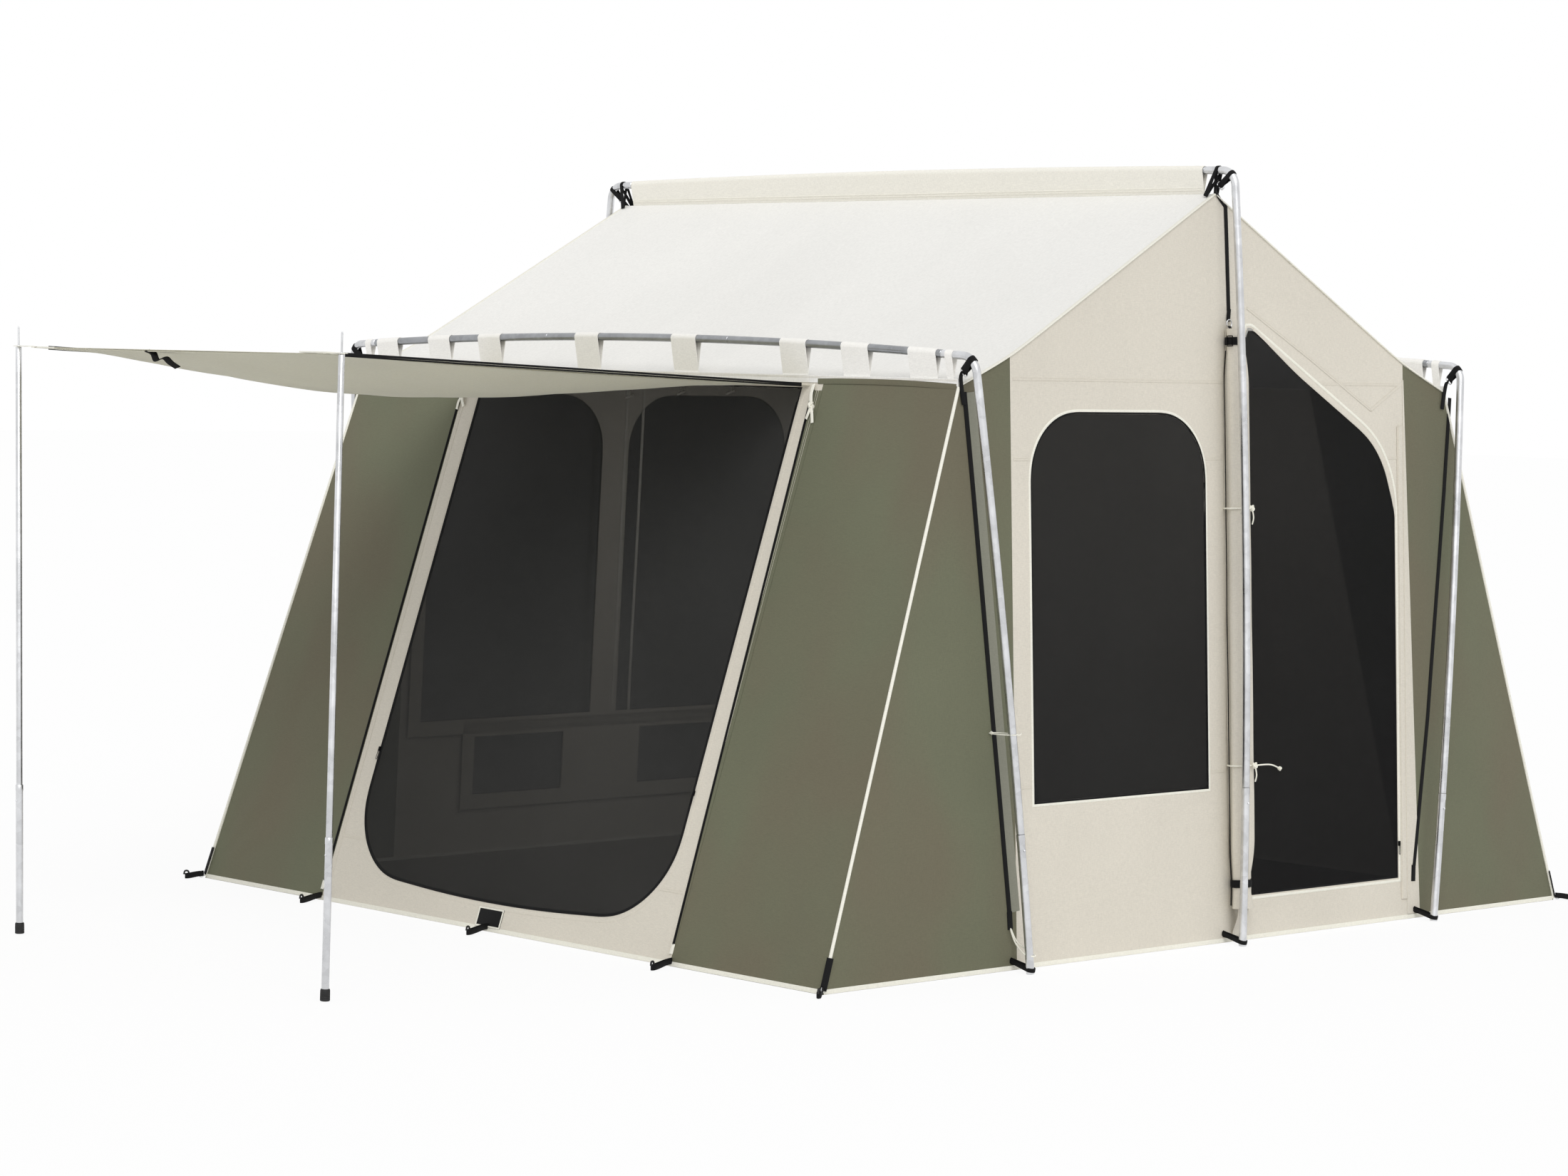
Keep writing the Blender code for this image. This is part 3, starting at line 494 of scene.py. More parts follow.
def tangent_at(line, index, closed=False):
    last = len(line) - 1
    before = line[index - 1] if index or closed else line[0]
    after = line[(index + 1) % (last + 1)] if index < last or closed else line[last]
    return (after - before).normalized()


def curve_through(points, steps=8, closed=False):
    """A smooth line through given points."""
    points = [Vector(point) for point in points]
    count = len(points)
    made = []
    for index in range(count if closed else count - 1):
        if closed:
            around = [points[(index + shift) % count] for shift in (-1, 0, 1, 2)]
        else:
            around = [points[min(count - 1, max(0, index + shift))] for shift in (-1, 0, 1, 2)]
        before, start, end, after = around
        for step in range(steps):
            t = step / steps
            made.append(0.5 * (2.0 * start + (end - before) * t
                               + (2.0 * before - 5.0 * start + 4.0 * end - after) * t ** 2
                               + (3.0 * start - before - 3.0 * end + after) * t ** 3))
    return made if closed else made + [points[-1]]


def arc(centre, radius, start, end, steps):
    """Points of an arc in a plane, with angles in radians."""
    return [(centre[0] + radius * math.cos(angle), centre[1] + radius * math.sin(angle))
            for angle in spread(start, end, steps)]


def linked(name, data):
    """A new object of the scene."""
    item = bpy.data.objects.new(name, data)
    bpy.context.scene.collection.objects.link(item)
    return item


class Piece:
    """A piece of the scene, built up from strips, tubes, blocks and sheets."""

    def __init__(self, name, look, body="root"):
        self.name, self.look, self.body = name, looks[look], body
        self.bm = bmesh.new()

    def strip(self, line, out, width, rise, sink=0.0, closed=False):
        """A ribbon along a line. Out is its upper side, one direction or one for each point."""
        outs = out if isinstance(out, list) else [Vector(out)] * len(line)
        section = [(share, rise * lift) for share, lift in strip_profile]
        section = [(-1.0, -sink)] + section + [(1.0, -sink)]
        rings = []
        for index, point in enumerate(line):
            tangent = tangent_at(line, index, closed)
            side = tangent.cross(outs[index]).normalized()
            if closed or index < len(line) - 1:
                ahead = line[(index + 1) % len(line)] - point
            else:
                ahead = point - line[index - 1]
            lean = max(lean_limit, abs(ahead.normalized().dot(tangent))) if ahead.length else 1.0
            half = width / 2.0 / lean
            rings.append([self.bm.verts.new(point + side * half * share + outs[index] * lift)
                          for share, lift in section])
        join_rings(self.bm, rings, closed)

    def tube(self, line, radius, sides=tube_sides, closed=False):
        """A round tube along a line, with one radius or one for each point."""
        radii = radius if isinstance(radius, list) else [radius] * len(line)
        rings = []
        normal = None
        for index, point in enumerate(line):
            tangent = tangent_at(line, index, closed)
            normal = tangent.orthogonal() if normal is None else normal
            normal = (normal - tangent * normal.dot(tangent)).normalized()
            over = tangent.cross(normal)
            ring = []
            for side in range(sides):
                angle = 2.0 * math.pi * side / sides
                spoke = normal * math.cos(angle) + over * math.sin(angle)
                ring.append(self.bm.verts.new(point + spoke * radii[index]))
            rings.append(ring)
        join_rings(self.bm, rings, closed)

    def ribbon(self, points, steps, out, width, rise, sink=0.0):
        """A ribbon on a smooth line through given points."""
        self.strip(curve_through(points, steps), out, width, rise, sink)

    def cord(self, points, steps, radius, sides=8):
        """A cord on a smooth line through given points."""
        self.tube(curve_through(points, steps), radius, sides)

    def ring(self, centre, first, second, sizes, radius, sides=10, power=1.0):
        """A ring of wire or cord on two axes, round or squared off."""
        line = []
        for step in range(ring_steps):
            angle = 2.0 * math.pi * step / ring_steps
            x, y = math.cos(angle), math.sin(angle)
            line.append(centre + first * sizes[0] * math.copysign(abs(x) ** power, x)
                        + second * sizes[1] * math.copysign(abs(y) ** power, y))
        self.tube(line, radius, sides, closed=True)

    def button(self, at, out, heights, radii):
        """A snap button that stands up from a tube."""
        self.tube([at + out * height for height in heights], list(radii), 12)

    def knot(self, centre, axis, size):
        """A small knot of cord or tape."""
        axis = axis.normalized()
        side = axis.orthogonal().normalized()
        over = axis.cross(side)
        line = []
        for step in range(knot_steps):
            angle = 2.0 * math.pi * step / knot_steps
            reach = size * (0.62 + 0.3 * math.cos(3.0 * angle))
            line.append(centre + side * reach * math.cos(2.0 * angle) + over * reach * math.sin(2.0 * angle)
                        + axis * size * 0.34 * math.sin(3.0 * angle))
        self.tube(line, size * 0.36, 8, closed=True)

    def block(self, centre, face, sizes, bevel):
        """A box with rounded edges, square to a face."""
        verts = bmesh.ops.create_cube(self.bm, size=1.0)["verts"]
        for vert in verts:
            shares = vert.co.copy()
            vert.co = Vector(centre)
            for axis, size, share in zip((face.across, face.up, face.out), sizes, shares):
                vert.co += axis * size * share
        edges = list(dict.fromkeys(edge for vert in verts for edge in vert.link_edges))
        bmesh.ops.bevel(self.bm, geom=edges, offset=bevel, segments=3, profile=0.5, affect="EDGES")

    def grid(self, surface, columns, rows, thickness):
        """A sheet over a grid of shares, with its underside a thickness behind its top."""
        layers = ([], [])
        for v in rows:
            for layer in layers:
                layer.append([])
            for u in columns:
                point = surface(u, v)
                along = surface(u + nudge, v) - surface(u - nudge, v)
                up = surface(u, v + nudge) - surface(u, v - nudge)
                normal = along.cross(up).normalized()
                layers[0][-1].append(self.bm.verts.new(point))
                layers[1][-1].append(self.bm.verts.new(point - normal * thickness))
        rims = []
        for layer in layers:
            for low, high in zip(layer, layer[1:]):
                for index in range(len(low) - 1):
                    self.bm.faces.new((low[index], low[index + 1], high[index + 1], high[index]))
            right_rim = [row[-1] for row in layer[1:-1]]
            left_rim = [row[0] for row in layer[1:-1]]
            rims.append(layer[0] + right_rim + layer[-1][::-1] + left_rim[::-1])
        bridge(self.bm, *rims)

    def done(self, *nodes, sharp=40.0, across=None):
        """Make the object, set it on its body, or, when it is given across, leave it unparented where it
        stands, and let it stand for its nodes.
        """
        bmesh.ops.recalc_face_normals(self.bm, faces=self.bm.faces)
        mesh = bpy.data.meshes.new(self.name)
        self.bm.to_mesh(mesh)
        self.bm.free()
        mesh.shade_smooth()
        mesh.set_sharp_from_angle(angle=math.radians(sharp))
        mesh.materials.append(self.look.material)
        item = linked(self.name, mesh)
        if across:
            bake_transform(item)
        else:
            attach(item, self.body)
        if nodes:
            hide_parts(*nodes)
        return item


class Face:
    """A flat side of the tent: across is level, up runs up the cloth and out points away."""

    def __init__(self, node, toward):
        toward = Vector(toward)
        polygons = [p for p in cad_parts[node].data.polygons if p.normal.dot(toward) > facing_share]
        self.out = sum((p.normal * p.area for p in polygons), Vector()).normalized()
        level = abs(self.out.z) > facing_share
        self.across = Vector(right) if level else upright.cross(self.out).normalized()
        self.up = self.out.cross(self.across)
        reach = max(p.center.dot(self.out) for p in polygons)
        self.origin = self.out * reach
        if not level:
            self.origin -= self.up * (self.out.z * reach / self.up.z)

    def at(self, u, v, lift=0.0):
        return self.origin + self.across * u + self.up * v + self.out * lift

    def above(self, u, height, lift=0.0):
        """A place given by its height above the ground."""
        return self.at(u, height / self.up.z, lift)

    def flat(self, point):
        offset = Vector(point) - self.origin
        return Vector((offset.dot(self.across), offset.dot(self.up)))


def sides_of(loop):
    return list(zip(loop, loop[1:] + loop[:1]))


def loop_area(loop):
    return 0.5 * sum(a.x * b.y - b.x * a.y for a, b in sides_of(loop))


def node_loops(node, face):
    """Outlines of a flat cloth node on its face, the outer one first and then its holes."""
    bm = bmesh.new()
    bm.from_mesh(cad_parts[node].data)
    bmesh.ops.remove_doubles(bm, verts=bm.verts, dist=weld)
    bm.normal_update()
    others = [f for f in bm.faces if f.normal.dot(face.out) < facing_share]
    bmesh.ops.delete(bm, geom=others, context="FACES_ONLY")
    bm.edges.index_update()
    edges = {edge for edge in bm.edges if len(edge.link_faces) == 1}
    loops = []
    while edges:
        edge = min(edges, key=lambda e: e.index)
        edges.discard(edge)
        start, at = edge.verts
        loop = [start]
        while at is not start:
            loop.append(at)
            edge = next(e for e in at.link_edges if e in edges)
            edges.discard(edge)
            at = edge.other_vert(at)
        loops.append([face.flat(vert.co) for vert in loop])
    bm.free()
    loops.sort(key=lambda loop: -abs(loop_area(loop)))
    return loops


def rounded(loop):
    """The loop with its arcs smoothed, and its real corners kept."""
    for _ in range(2):
        made = []
        for index, corner in enumerate(loop):
            inward, outward = corner - loop[index - 1], loop[(index + 1) % len(loop)] - corner
            if 0.01 < inward.angle(outward) < arc_turn:
                cut = min(inward.length, outward.length) / 4.0
                made += [corner - inward.normalized() * cut, corner + outward.normalized() * cut]
            else:
                made.append(corner)
        loop = made
    return loop


def densified(loop, step, closed=True):
    made = []
    for a, b in zip(loop, loop[1:] + (loop[:1] if closed else [])):
        count = max(1, round((b - a).length / step))
        made += [a.lerp(b, index / count) for index in range(count)]
    return made if closed else made + [loop[-1]]


def inside(points, loop):
    result = np.zeros(len(points), bool)
    for a, b in sides_of(loop):
        crosses = (a.y > points[:, 1]) != (b.y > points[:, 1])
        if a.y != b.y:
            result ^= crosses & (points[:, 0] < (b.x - a.x) * (points[:, 1] - a.y) / (b.y - a.y) + a.x)
    return result


def on_cloth(points, rims):
    """Which points are inside the outer rim and in none of the holes."""
    result = inside(points, rims[0])
    for hole in rims[1:]:
        result &= ~inside(points, hole)
    return result


def rim_distance(points, loops):
    best = np.full(len(points), np.inf)
    for a, b in [pair for loop in loops for pair in sides_of(loop)]:
        start, edge = np.array(a), np.array(b - a)
        share = np.clip(((points - start) @ edge) / (edge @ edge), 0.0, 1.0)
        best = np.minimum(best, np.linalg.norm(points - start - share[:, None] * edge, axis=1))
    return best


def slack(seed, size, wide=0.55, fine=0.15):
    """Relief of hung canvas: broad swells and smaller ones drawn out downwards."""

    def relief(u, v):
        broad = noise.noise(Vector((u / wide, v / (1.6 * wide), seed)))
        small = noise.noise(Vector((u / fine, v / (3.5 * fine), seed + 9.0)))
        crease = noise.noise(Vector((u / (0.4 * fine), v / (2.2 * fine), seed + 17.0)))
        return size * (broad + 0.3 * small + 0.16 * crease)

    return relief


def pulled(relief, corner, size, reach, count):
    """The relief with folds that fan out from a corner where the cloth is pulled."""

    def folded(u, v):
        offset = Vector((u, v)) - Vector(corner)
        distance = offset.length
        wave = math.cos(count * math.atan2(offset.y, offset.x) + 4.0 * distance)
        return relief(u, v) + size * wave * math.exp(-distance / reach) * smooth(distance / 0.12)

    return folded


class Panel:
    """A flat cloth node and the slack cloth that stands for it."""

    def __init__(self, node, toward, relief, thickness=canvas, fade=fade_width):
        self.node, self.relief, self.thickness, self.fade = node, relief, thickness, fade
        self.face = Face(node, toward)
        self.loops = [rounded(loop) for loop in node_loops(node, self.face)]

    def lifts(self, points):
        gaps = rim_distance(points, self.loops)
        return [smooth(gap / self.fade) * self.relief(u, v) for gap, (u, v) in zip(gaps, points)]

    def on(self, flat, lift=0.0, step=cloth_step, closed=False):
        """A line on the cloth's outer side, through places given across and up it."""
        line = densified([Vector(place) for place in flat], step, closed)
        lifts = self.lifts(np.array([tuple(p) for p in line]))
        return [self.face.at(p.x, p.y, own + lift) for p, own in zip(line, lifts)]

    def level(self, flat, lift=0.0, closed=False):
        """The same, through places given across and by their height above the ground."""
        return self.on([(u, z / self.face.up.z) for u, z in flat], lift, closed=closed)

    def tape(self, piece, flat, lift, width, rise, sink=0.0):
        """Tape on the cloth, through places given across and by their height above the ground."""
        piece.strip(self.level(flat, lift), self.face.out, width, rise, sink)

    def spans(self, height):
        """Stretches of cloth at a height, between the panel's edges and holes."""
        v = height / self.face.up.z
        crossings = []
        for a, b in [pair for loop in self.loops for pair in sides_of(loop)]:
            if (a.y > v) != (b.y > v):
                crossings.append(a.x + (b.x - a.x) * (v - a.y) / (b.y - a.y))
        crossings.sort()
        wide = [(a, b) for a, b in zip(crossings[::2], crossings[1::2]) if b - a > 4.0 * span_inset]
        return [(low + span_inset, high - span_inset) for low, high in wide]

    def fill(self, rims):
        """Places for the cloth's mesh inside its rims, on a staggered grid."""
        outline = np.array([tuple(p) for p in rims[0]])
        low, high = outline.min(0), outline.max(0)
        row_step = cloth_step * row_share
        places = []
        for number, v in enumerate(np.arange(low[1] + row_step, high[1], row_step)):
            shift = cloth_step * 0.5 * (number % 2)
            places += [(u, v) for u in np.arange(low[0] + shift, high[0], cloth_step)]
        points = np.array(places)
        points = points[on_cloth(points, rims)]
        return points[rim_distance(points, self.loops) > rim_clearance * cloth_step]

    def lay(self, piece):
        """Mesh the cloth: a top and an underside, joined round every rim."""
        rims = [densified(loop, cloth_step) for loop in self.loops]
        edges = []
        flat = []
        for rim in rims:
            first = len(flat)
            flat += rim
            edges += [(first + i, first + (i + 1) % len(rim)) for i in range(len(rim))]
        flat += [Vector(point) for point in self.fill(rims)]
        verts, _, faces = delaunay_2d_cdt(flat, edges, [], 0, cut_tolerance)[:3]
        verts = [Vector(v) for v in verts]
        centres = np.array([tuple(sum((verts[i] for i in f), Vector((0.0, 0.0))) / len(f)) for f in faces])
        real = on_cloth(centres, rims)
        lifts = self.lifts(np.array([tuple(v) for v in verts]))
        top = [piece.bm.verts.new(self.face.at(v.x, v.y, own)) for v, own in zip(verts, lifts)]
        bottom = [piece.bm.verts.new(self.face.at(v.x, v.y, own - self.thickness))
                  for v, own in zip(verts, lifts)]
        rim_edges = {}
        for f, wanted in zip(faces, real):
            if not wanted:
                continue
            piece.bm.faces.new([top[i] for i in f])
            piece.bm.faces.new([bottom[i] for i in reversed(f)])
            for a, b in zip(f, f[1:] + f[:1]):
                key = (min(a, b), max(a, b))
                rim_edges[key] = None if key in rim_edges else (a, b)
        for pair in rim_edges.values():
            if pair:
                a, b = pair
                piece.bm.faces.new((top[b], top[a], bottom[a], bottom[b]))
        loose = [v for v in piece.bm.verts if not v.link_faces]
        bmesh.ops.delete(piece.bm, geom=loose, context="VERTS")

    def flat_size(self):
        """Width, length and area that the cloth was cut to. A frame round a hole is one long strip."""
        outline = self.loops[0]
        width = max(p.x for p in outline) - min(p.x for p in outline)
        length = max(p.y for p in outline) - min(p.y for p in outline)
        area = abs(loop_area(outline)) - sum(abs(loop_area(hole)) for hole in self.loops[1:])
        if area < frame_share * width * length:
            rims = sum((b - a).length for loop in self.loops for a, b in sides_of(loop))
            length = rims / 2.0
            width = area / length
        return (width, length), area

    def make(self, name, look, body="root", held="hung", rests_on=()):
        piece = Piece(name, look, body)
        self.lay(piece)
        item = piece.done(self.node, sharp=60.0)
        flat, area = self.flat_size()
        return item


# Cloth of the walls and gables

def hang_corner(panels, node, toward, seed, size, folds, band):
    """Olive cloth, pulled into folds that fan out from its outer foot."""
    panel = Panel(node, toward, slack(seed, size))
    outer = max(panel.loops[0], key=lambda p: abs(p.x) - p.y)
    panel.relief = pulled(panel.relief, outer, *folds)
    panel.make(f"{node}_cloth", "olive", rests_on=[band])
    panels[node] = panel


def hang_middle(panels, node, toward, seed, size, fade, rests_on):
    """Cream cloth between two olive ones."""
    panels[node] = Panel(node, toward, slack(seed, size), fade=fade)
    panels[node].make(f"{node}_cloth", "cream", rests_on=rests_on)


def build_walls(panels):
    for toward, side, seed in ((front, "front", 3.0), (back, "back", 23.0)):
        band = f"{side}_eave_band"
        for end, number in (("left", -1.0), ("right", 1.0)):
            hang_corner(panels, f"{side}_flank_{end}", toward, seed + number, 0.005, flank_folds, band)
        hang_middle(panels, f"{side}_door_panel", toward, seed + 5.0, 0.0045, 0.05, [band])


def build_gables(panels):
    for toward, end, seed in ((right, "right", 41.0), (left, "left", 61.0)):
        for side in ("front", "back"):
            hang_corner(panels, f"gusset_{side}_{end}", toward, seed + len(side), 0.0045, gusset_folds,
                        f"{side}_eave_band")
        hang_middle(panels, f"gable_panel_{end}", toward, seed + 11.0, 0.005, 0.06,
                    ["roof_front", "roof_back"])


def build_nets(panels):
    nets = (
        ("front_screen", front, "net_front", "front_mesh_door"),
        ("side_screen", right, "net_side", "side_mesh_door"),
        ("gable_window_right", right, "net_window", "root"),
        ("gable_windows_left", left, "net_side", "root"),
        ("gable_vents_left", left, "net_side", "root"),
    )
    for number, (node, toward, look, body) in enumerate(nets):
        panels[node] = Panel(node, toward, slack(81.0 + number, 0.002, 0.4, 0.2), netting)
        panels[node].make(f"{node}_net", look, body, "stretched")


def build_groundsheet():
    panel = Panel("groundsheet", -upright, lambda u, v: 0.0, 0.0018)
    panel.make("groundsheet_cloth", "vinyl", held="laid")


# Roof, sleeve and eave bands

def roof_height(reach):
    """Height of the roof at a distance from the ridge, with its break eased."""
    steep = ridge_height - reach * (ridge_height - break_height) / break_half_width
    shallow = break_height - (reach - break_half_width) * (break_height - eave_height) / (
        eave_half_width - break_half_width)
    gap = (shallow - steep) / break_ease
    return steep if gap < -8.0 else steep + break_ease * math.log(1.0 + math.exp(gap))


def roof_point(side, across, down):
    """A place on a roof slope's top, across from gable to gable and down from ridge to eave."""
    reach = roof_start + (eave_half_width - roof_start) * down
    height = roof_height(reach)
    x = across * (gable_x(height) + roof_overhang)
    belly = 1.0 - min(1.0, abs(across)) ** 2
    hang = math.sin(math.pi * min(1.0, max(0.0, down)))
    swell = noise.noise(Vector((x / 0.4, reach / 0.9, 5.0 + side)))
    fold = noise.noise(Vector((x / 0.13, reach / 0.7, 15.0 + side)))
    relief = (roof_swell * swell + roof_fold * fold) * smooth(belly / 0.12) * smooth(hang / 0.3)
    return Vector((x, side * reach, height - roof_sag * belly * hang + relief))


def build_roof():
    pale = Piece("roof_edge_hems", "piping")
    for side, name in long_sides:
        piece = Piece(f"roof_{name}_cloth", "roof")
        piece.grid(lambda u, v: roof_point(side, side * u, v), spread(-1.0, 1.0, 150),
                   spread(0.0, 1.0, 64), canvas)
        item = piece.done(f"roof_{name}", sharp=60.0)
        for end in ends:
            line, outs = [], []
            for down in spread(0.0, 1.0, 60):
                line.append(roof_point(side, end * 0.9965, down))
                run = roof_point(side, end, down + 0.01) - roof_point(side, end, down - 0.01)
                outs.append(Vector((0.0, -side * run.z, side * run.y)).normalized())
            pale.strip(line, outs, 0.012, 0.0014, canvas + 0.0014)
    pale.done()


def sling_rings(piece, places, route, foot, outward):
    """Cloth that goes up from a foot, round a bar and back down, along a run of places."""
    rings = []
    for x in places:
        bar = route.bar_at(x)
        loops = []
        for radius, rise in ((tube_radius + seam + canvas, 0.0), (tube_radius + seam, 0.006)):
            crease = 0.0006 * noise.noise(Vector((x / 0.02, radius, 3.0)))
            low = Vector((foot[0], foot[1] + rise))
            down = low - Vector((bar.y, bar.z))
            lean = math.atan2(down.y, down.x)
            open_half = math.acos(min(1.0, radius / down.length))
            section = arc((bar.y, bar.z), radius + crease, lean + open_half,
                          lean + 2.0 * math.pi - open_half, sling_steps)
            thick = outward * (0.5 if rise else 1.0)
            section += [(low.x + thick, low.y), (low.x - thick, low.y)]
            loops.append([piece.bm.verts.new((x, y, z)) for y, z in section])
        rings.append(loops)
    for first, second in zip(rings, rings[1:]):
        for layer in (0, 1):
            bridge(piece.bm, first[layer], second[layer])
    for ring in (rings[0], rings[-1]):
        bridge(piece.bm, *ring)


def thread_rows(piece, half, y, heights, side, steps, width, rise):
    """Rows of thread along a band, from end to end and a little short of both."""
    for height in heights:
        line = [Vector((x, y, height)) for x in spread(-half + 0.004, half - 0.004, steps)]
        piece.strip(line, Vector((0.0, side, 0.0)), width, rise)


def build_sleeve(route):
    piece = Piece("ridge_sleeve_cloth", "sleeve")
    sling_rings(piece, spread(-sleeve_half_length, sleeve_half_length, 180), route,
                (0.0, sleeve_foot_height), 0.0011)
    item = piece.done("ridge_sleeve", sharp=60.0)
    trim = Piece("ridge_sleeve_seam", "sleeve")
    for side in ends:
        thread_rows(trim, sleeve_half_length, side * 0.0035, (ridge_height + 0.012, ridge_height + 0.02),
                    side, 80, 0.0025, 0.0012)
    trim.done()


def build_eave(side, name, route):
    """The band along an eave, and the ten loops that hang it from the bar."""
    middle = side * band_centre
    low, high = band_foot_height, band_foot_height + band_height
    end = gable_x(eave_height)

    def surface(along, up):
        x = end * along
        wave = 0.0007 * noise.noise(Vector((x / 0.06, up, 31.0 + side)))
        fold = 1.0 - 2.0 * abs(up - 0.5)
        return Vector((x, middle + side * (band_half_thickness + wave * fold), low + (high - low) * up))

    band = Piece(f"{name}_eave_band_cloth", "band")
    band.grid(lambda u, v: surface(-side * u, v), spread(-1.0, 1.0, 220), spread(0.0, 1.0, 6),
              2.0 * band_half_thickness)
    item = band.done(f"{name}_eave_band")
    loops = Piece(f"{name}_eave_loops", "loops")
    places = [(place, loop_width) for place in loop_places] + [(corner_loop_place, corner_loop_width)]
    for place, width in places:
        for mirror in ends:
            run = spread(mirror * place - width / 2.0, mirror * place + width / 2.0,
                         max(4, round(width / 0.007)))
            sling_rings(loops, run, route, (middle, high - 0.004), 0.0012)
    loops_item = loops.done(sharp=60.0)
    stitches = Piece(f"{name}_eave_stitching", "cream")
    thread_rows(stitches, end, middle + side * band_half_thickness, (high - 0.004, high - 0.0075),
                side, 160, 0.001, 0.0006)
    stitches.done()


# Hoops and poles

class Route:
    """A line with its length measured from the first point."""

    def __init__(self, points):
        self.points = [Vector(point) for point in points]
        self.stations = [0.0]
        for first, second in zip(self.points, self.points[1:]):
            self.stations.append(self.stations[-1] + (second - first).length)
        self.length = self.stations[-1]

    def at(self, station):
        for index, end in enumerate(self.stations[1:]):
            if station <= end or index == len(self.stations) - 2:
                start = self.stations[index]
                share = (station - start) / (end - start)
                return self.points[index].lerp(self.points[index + 1], share)

    def cut(self, start, end):
        """Stations of the route's own points between two stations."""
        return [s for s in self.stations if start + 0.003 < s < end - 0.003]

    def run_at(self, x):
        """The run of the top bar at a place along the ridge, and the share of it before the place."""
        for index, (first, second) in enumerate(zip(self.points, self.points[1:])):
            along = second.x - first.x > bar_share * (second - first).length
            if along and first.x <= x <= second.x:
                return index, (x - first.x) / (second.x - first.x)
        raise ValueError(f"no bar at {x}")

    def bar_at(self, x):
        index, share = self.run_at(x)
        return self.points[index].lerp(self.points[index + 1], share)

    def station_of(self, x):
        index, share = self.run_at(x)
        return self.stations[index] + share * (self.points[index + 1] - self.points[index]).length


def fillet(before, corner, after, radius, steps):
    """Points that round the corner between two straight runs in a plane."""
    before, corner, after = Vector(before), Vector(corner), Vector(after)
    inward, outward = (before - corner).normalized(), (after - corner).normalized()
    half_turn = inward.angle(outward) / 2.0
    centre = corner + (inward + outward).normalized() * radius / math.sin(half_turn)
    reach = radius / math.tan(half_turn)
    first, last = corner + inward * reach - centre, corner + outward * reach - centre
    sweep = first.angle(last)
    points = []
    for share in spread(0.0, 1.0, steps):
        weight_first = math.sin((1.0 - share) * sweep) / math.sin(sweep)
        weight_last = math.sin(share * sweep) / math.sin(sweep)
        points.append(tuple(centre + first * weight_first + last * weight_last))
    return points


def hoop_route(side, bar_height, bar_rise, corner, bow, foot_width, head_width):
    lean = Vector((head_width - foot_width, bar_height))
    height = lean.length
    lean /= height
    leg = []
    for share in spread(0.0, 0.94, 24):
        x = hoop_foot_half_length + (corner - hoop_foot_half_length) * share
        leg.append((x + bow * 4.0 * share * (1.0 - share), height * share))
    bar = [(x, height + bar_rise * (1.0 - (x / corner) ** 2))
           for x in spread(bar_outer_half_length, 0.0, 18)]
    half = leg + fillet(leg[-1], (corner, height), bar[0], elbow_radius, 16) + bar
    flat = [(-x, v) for x, v in half] + half[-2::-1]
    return Route([(x, side * (foot_width + v * lean[0]), v * lean[1]) for x, v in flat])


def tube_section(piece, route, start, end, collar_start=False, collar_end=False):
    """One tube of a hoop, with eased ends and a swaged collar where another plugs in."""
    grown = tube_radius + collar_growth
    stations = [(start + seam, tube_radius - tube_bevel), (start + seam + tube_bevel, tube_radius)]
    if collar_start:
        stations = [(start + seam, grown - tube_bevel), (start + seam + tube_bevel, grown),
                    (start + collar_length, grown), (start + collar_length + 0.002, tube_radius)]
    tail = [(end - seam - tube_bevel, tube_radius), (end - seam, tube_radius - tube_bevel)]
    if collar_end:
        tail = [(end - collar_length - 0.002, tube_radius), (end - collar_length, grown),
                (end - seam - tube_bevel, grown), (end - seam, grown - tube_bevel)]
    stations += [(s, tube_radius) for s in route.cut(stations[-1][0], tail[0][0])] + tail
    piece.tube([route.at(s) for s, _ in stations], [radius for _, radius in stations])


def build_hoop(name, route, lower_length):
    total = route.length
    inner = route.station_of(-bar_middle_half_length)
    outer = route.station_of(-bar_outer_half_length)
    cuts = (0.0, lower_length, outer, inner, total - inner, total - outer, total - lower_length, total)
    parts = ("leg_left_lower", "leg_left_upper", "bar_left", "bar_middle", "bar_right", "leg_right_upper",
             "leg_right_lower")
    for part, start, end in zip(parts, cuts, cuts[1:]):
        # Top bars take the darker steel, which paints their shade.
        piece = Piece(f"{name}_{part}_tube", "bar" if "bar" in part else "steel")
        tube_section(piece, route, start, end, part == "leg_right_lower", part == "leg_left_lower")
        if part.endswith("lower"):
            foot, inward = (0.0, 1.0) if "left" in part else (total, -1.0)
            at = route.at(foot + inward * (lower_length - button_drop))
            piece.button(at, Vector((-inward, 0.0, 0.0)),
                         (tube_radius - 0.002, tube_radius + 0.0015, tube_radius + 0.003),
                         (button_radius, button_radius, button_radius * 0.6))
        piece.done(f"{name}_{part}")


def turned(name, look, body, route, profile, node):
    """A round piece along a line, from stations and radii."""
    piece = Piece(name, look, body)
    piece.tube([route.at(station) for station, _ in profile], [radius for _, radius in profile])
    piece.done(node)


def upper_profile(start, shoulder, total):
    return ((start, pole_upper_radius - 0.001), (start + 0.001, pole_upper_radius),
            (shoulder - 0.002, pole_upper_radius), (shoulder - 0.0006, pole_upper_radius - 0.0008),
            (shoulder, pole_upper_radius - 0.003), (shoulder + 0.0005, 0.003),
            (total - 0.006, 0.0028), (total - 0.0005, 0.0014))


